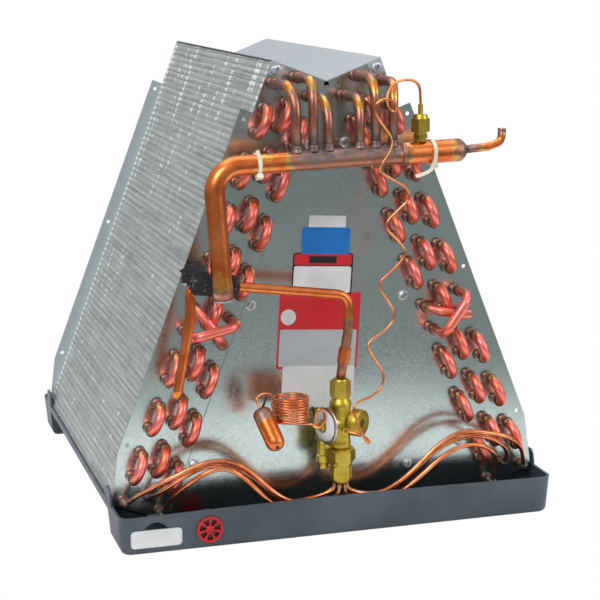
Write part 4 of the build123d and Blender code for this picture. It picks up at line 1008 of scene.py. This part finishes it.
def panel(name, sides, key, lift, corner=1.0, middle=None):
    """A field on the centre plate, turned as the labels are about its own or another label's middle."""
    cx, cz = middle or ((sides[0] + sides[1]) / 2, (sides[2] + sides[3]) / 2)
    ca, sa = cos(LABEL_TILT), sin(LABEL_TILT)
    turned = [(cx + (x - cx) * ca - (z - cz) * sa, cz + (x - cx) * sa + (z - cz) * ca)
              for x, z in rounded(*sides, corner)]
    front, back = ([(x, PLATE_Y - lift + deep, z) for x, z in turned] for deep in (0, 0.12))
    return leaf(name, front, back, key, "galvanised")


NOTICE_MIDDLE, PLATE_MIDDLE = (-5.6, 254.2), (-10, 196.9)
for label in (  # name, (left, right, low, high), colour, lift off the plate, corner, middle to turn about
        ("label_small", (-19, 18.9, 299.5, 311.5), "white", 0.14),
        ("label_blue", (-26.8, 22.9, 272.5, 300.1), "blue", 0.16, 3.2),
        ("label_notice", (-36.7, 25.4, 233.5, 274.9), "black", 0.14, 3.0),
        ("label_notice_band", (-35.2, 23.9, 262.5, 273.6), "label_red", 0.20, 2.0, NOTICE_MIDDLE),
        ("label_notice_bar", (-20.0, 8.2, 264.6, 271.6), "black", 0.26, 0.8, NOTICE_MIDDLE),
        ("label_notice_field", (-35.2, 23.9, 235.0, 261.4), "white", 0.20, 2.0, NOTICE_MIDDLE),
        ("label_plate", (-52, 32, 158.1, 235.7), "label_red", 0.14, 2.6),
        ("label_plate_field", (-49.8, 29.8, 160.6, 198.0), "silver", 0.20, 1.6, PLATE_MIDDLE),
        ("label_caution", (-48.7, 26, 118.8, 161.3), "white", 0.26, 1.5)):
    panel(*label)
dot = [(-41.0 + 7.8 * cos(a), 212.6 + 7.8 * sin(a)) for a in
       (2 * pi * k / 28 for k in range(28))]
leaf("label_plate_dot", [(x, PLATE_Y - 0.22, z) for x, z in dot], [(x, PLATE_Y - 0.1, z) for x, z in dot],
     "white", "galvanised")

# ---- sticker over the primary drain port, on the pan's sloping front ----
pan_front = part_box("drain_pan")[0].y / MM
STICKER_TOP, PAN_SLOPE = 25.8, 0.055
for name, sides, key, lift, corner in (
        ("port_sticker_edge", (-213.3, -163, 7.5, STICKER_TOP), "silver", 0.45, 4),
        ("port_sticker", (-212.5, -163.8, 8.3, 25.0), "white", 0.6, 3.4)):
    front, back = ([(x, pan_front + 0.75 + (STICKER_TOP - z) * PAN_SLOPE - lift + deep, z)
                    for x, z in rounded(*sides, corner)] for deep in (0.0, 0.15))
    leaf(name, front, back, key, "pan_plastic")

# ---- tie tails ----
c = header_point(89.0)
tail = [ahead(89, c[1] + 11.6, c[2] + 5), ahead(89, c[1] + 13.2, c[2] - 6), ahead(87, c[1] + 11, c[2] - 15),
        ahead(80, c[1] + 8, c[2] - 20), ahead(71, c[1] + 7, c[2] - 22)]
ribbon("sleeve_tie_tail", soft_path(tail, 6), 3.4, 0.9, (0, 0.3, 1), *TIE)
c = header_point(-88.0)
tail = [ahead(-88, c[1] + 9.0, c[2] + 5.5), ahead(-88.5, c[1] + 10.5, c[2] + 9),
        ahead(-90, c[1] + 9.5, c[2] + 14)]
ribbon("header_tie_tail", soft_path(tail, 6), 3.4, 0.9, (1, 0, 0), *TIE)

# ---- finishes of the CAD nodes that stay ----
for node in nodes:
    if "tube_sheet" in node or "centre_plate" in node:
        dress(node, "rear" if "tube_sheet" in node and "rear" in node else "galvanised")
    elif "fin_pack" in node:
        dress(node, "fins")
for node, key in (("top_cap", "cap"), ("drain_pan", "pan"), ("cable_ties", "tie"), ("valve_body", "brass"),
                  ("flare_fitting", "brass"), ("flare_nut", "brass"), ("liquid_coupling", "pipe")):
    dress(node, key)


# ---- studio ----
def area(name, where, target, size, power):
    data = bpy.data.lights.new(name, "AREA")
    data.shape = "RECTANGLE"
    data.size, data.size_y = size
    data.energy = power
    ob = bpy.data.objects.new(name, data)
    bpy.context.scene.collection.objects.link(ob)
    ob.location = where
    ob.rotation_euler = (Vector(target) - Vector(where)).to_track_quat("-Z", "Y").to_euler()


area("key", (-1.5, -2.0, 1.9), (0, 0, 0.25), (1.4, 1.4), 34)
area("fill", (1.9, -1.6, 1.1), (0, 0, 0.2), (1.2, 1.6), 16)
area("top", (0.0, 0.3, 2.4), (0, 0, 0.3), (2.0, 2.0), 22)

world = bpy.data.worlds.new("studio")
bpy.context.scene.world = world
world.use_nodes = True
tree = world.node_tree
tree.nodes.clear()
height = add_node(tree, "ShaderNodeSeparateXYZ", {
    0: add_node(tree, "ShaderNodeTexCoord").outputs["Generated"]}).outputs["Z"]
height = add_node(tree, "ShaderNodeMapRange", {"Value": height, "From Min": -1}).outputs[0]
bands = colour_ramp(tree, height, [(0.30, (0.12, 0.125, 0.13, 1)), (0.55, (0.62, 0.63, 0.64, 1)),
                                   (0.95, (1, 1, 1, 1))])
dome = add_node(tree, "ShaderNodeBackground", {"Color": bands, "Strength": 0.75}).outputs[0]
white = add_node(tree, "ShaderNodeBackground", {"Color": (1, 1, 1, 1)}).outputs[0]
seen = add_node(tree, "ShaderNodeLightPath").outputs["Is Camera Ray"]
sky = add_node(tree, "ShaderNodeMixShader", {"Fac": seen, 1: dome, 2: white}).outputs[0]
add_node(tree, "ShaderNodeOutputWorld", {"Surface": sky})

FLOOR_HALF, FLOOR_Z = 6, -0.0005
floor_mesh = bpy.data.meshes.new("floor")
floor_mesh.from_pydata([(x * FLOOR_HALF, y * FLOOR_HALF, FLOOR_Z)
                        for x, y in ((-1, -1), (1, -1), (1, 1), (-1, 1))], [], [(0, 1, 2, 3)])
floor = bpy.data.objects.new("floor", floor_mesh)
bpy.context.scene.collection.objects.link(floor)
floor_paint = bpy.data.materials.new("floor")
floor_paint.use_nodes = True
tree = floor_paint.node_tree
tree.nodes.clear()
# pale near the object and darker far off, so that the sheets reflect a bright band under a dark one
far = add_node(tree, "ShaderNodeVectorMath", {
    0: add_node(tree, "ShaderNodeNewGeometry").outputs["Position"]}, operation="LENGTH").outputs["Value"]
far = add_node(tree, "ShaderNodeMath", {0: far, 1: float(FLOOR_HALF)}, operation="DIVIDE").outputs[0]
shade = colour_ramp(tree, far, [(0.096, (0.95, 0.96, 0.96, 1)), (0.135, (0.205, 0.215, 0.21, 1)),
                                (0.30, (0.25, 0.265, 0.26, 1))])
matte = add_node(tree, "ShaderNodeBsdfDiffuse", {"Color": shade}).outputs[0]
glow = add_node(tree, "ShaderNodeEmission", {"Strength": 1.0}).outputs[0]
seen = add_node(tree, "ShaderNodeLightPath").outputs["Is Camera Ray"]
ground = add_node(tree, "ShaderNodeMixShader", {0: seen, 1: matte, 2: glow}).outputs[0]
add_node(tree, "ShaderNodeOutputMaterial", {"Surface": ground})
floor_mesh.materials.append(floor_paint)
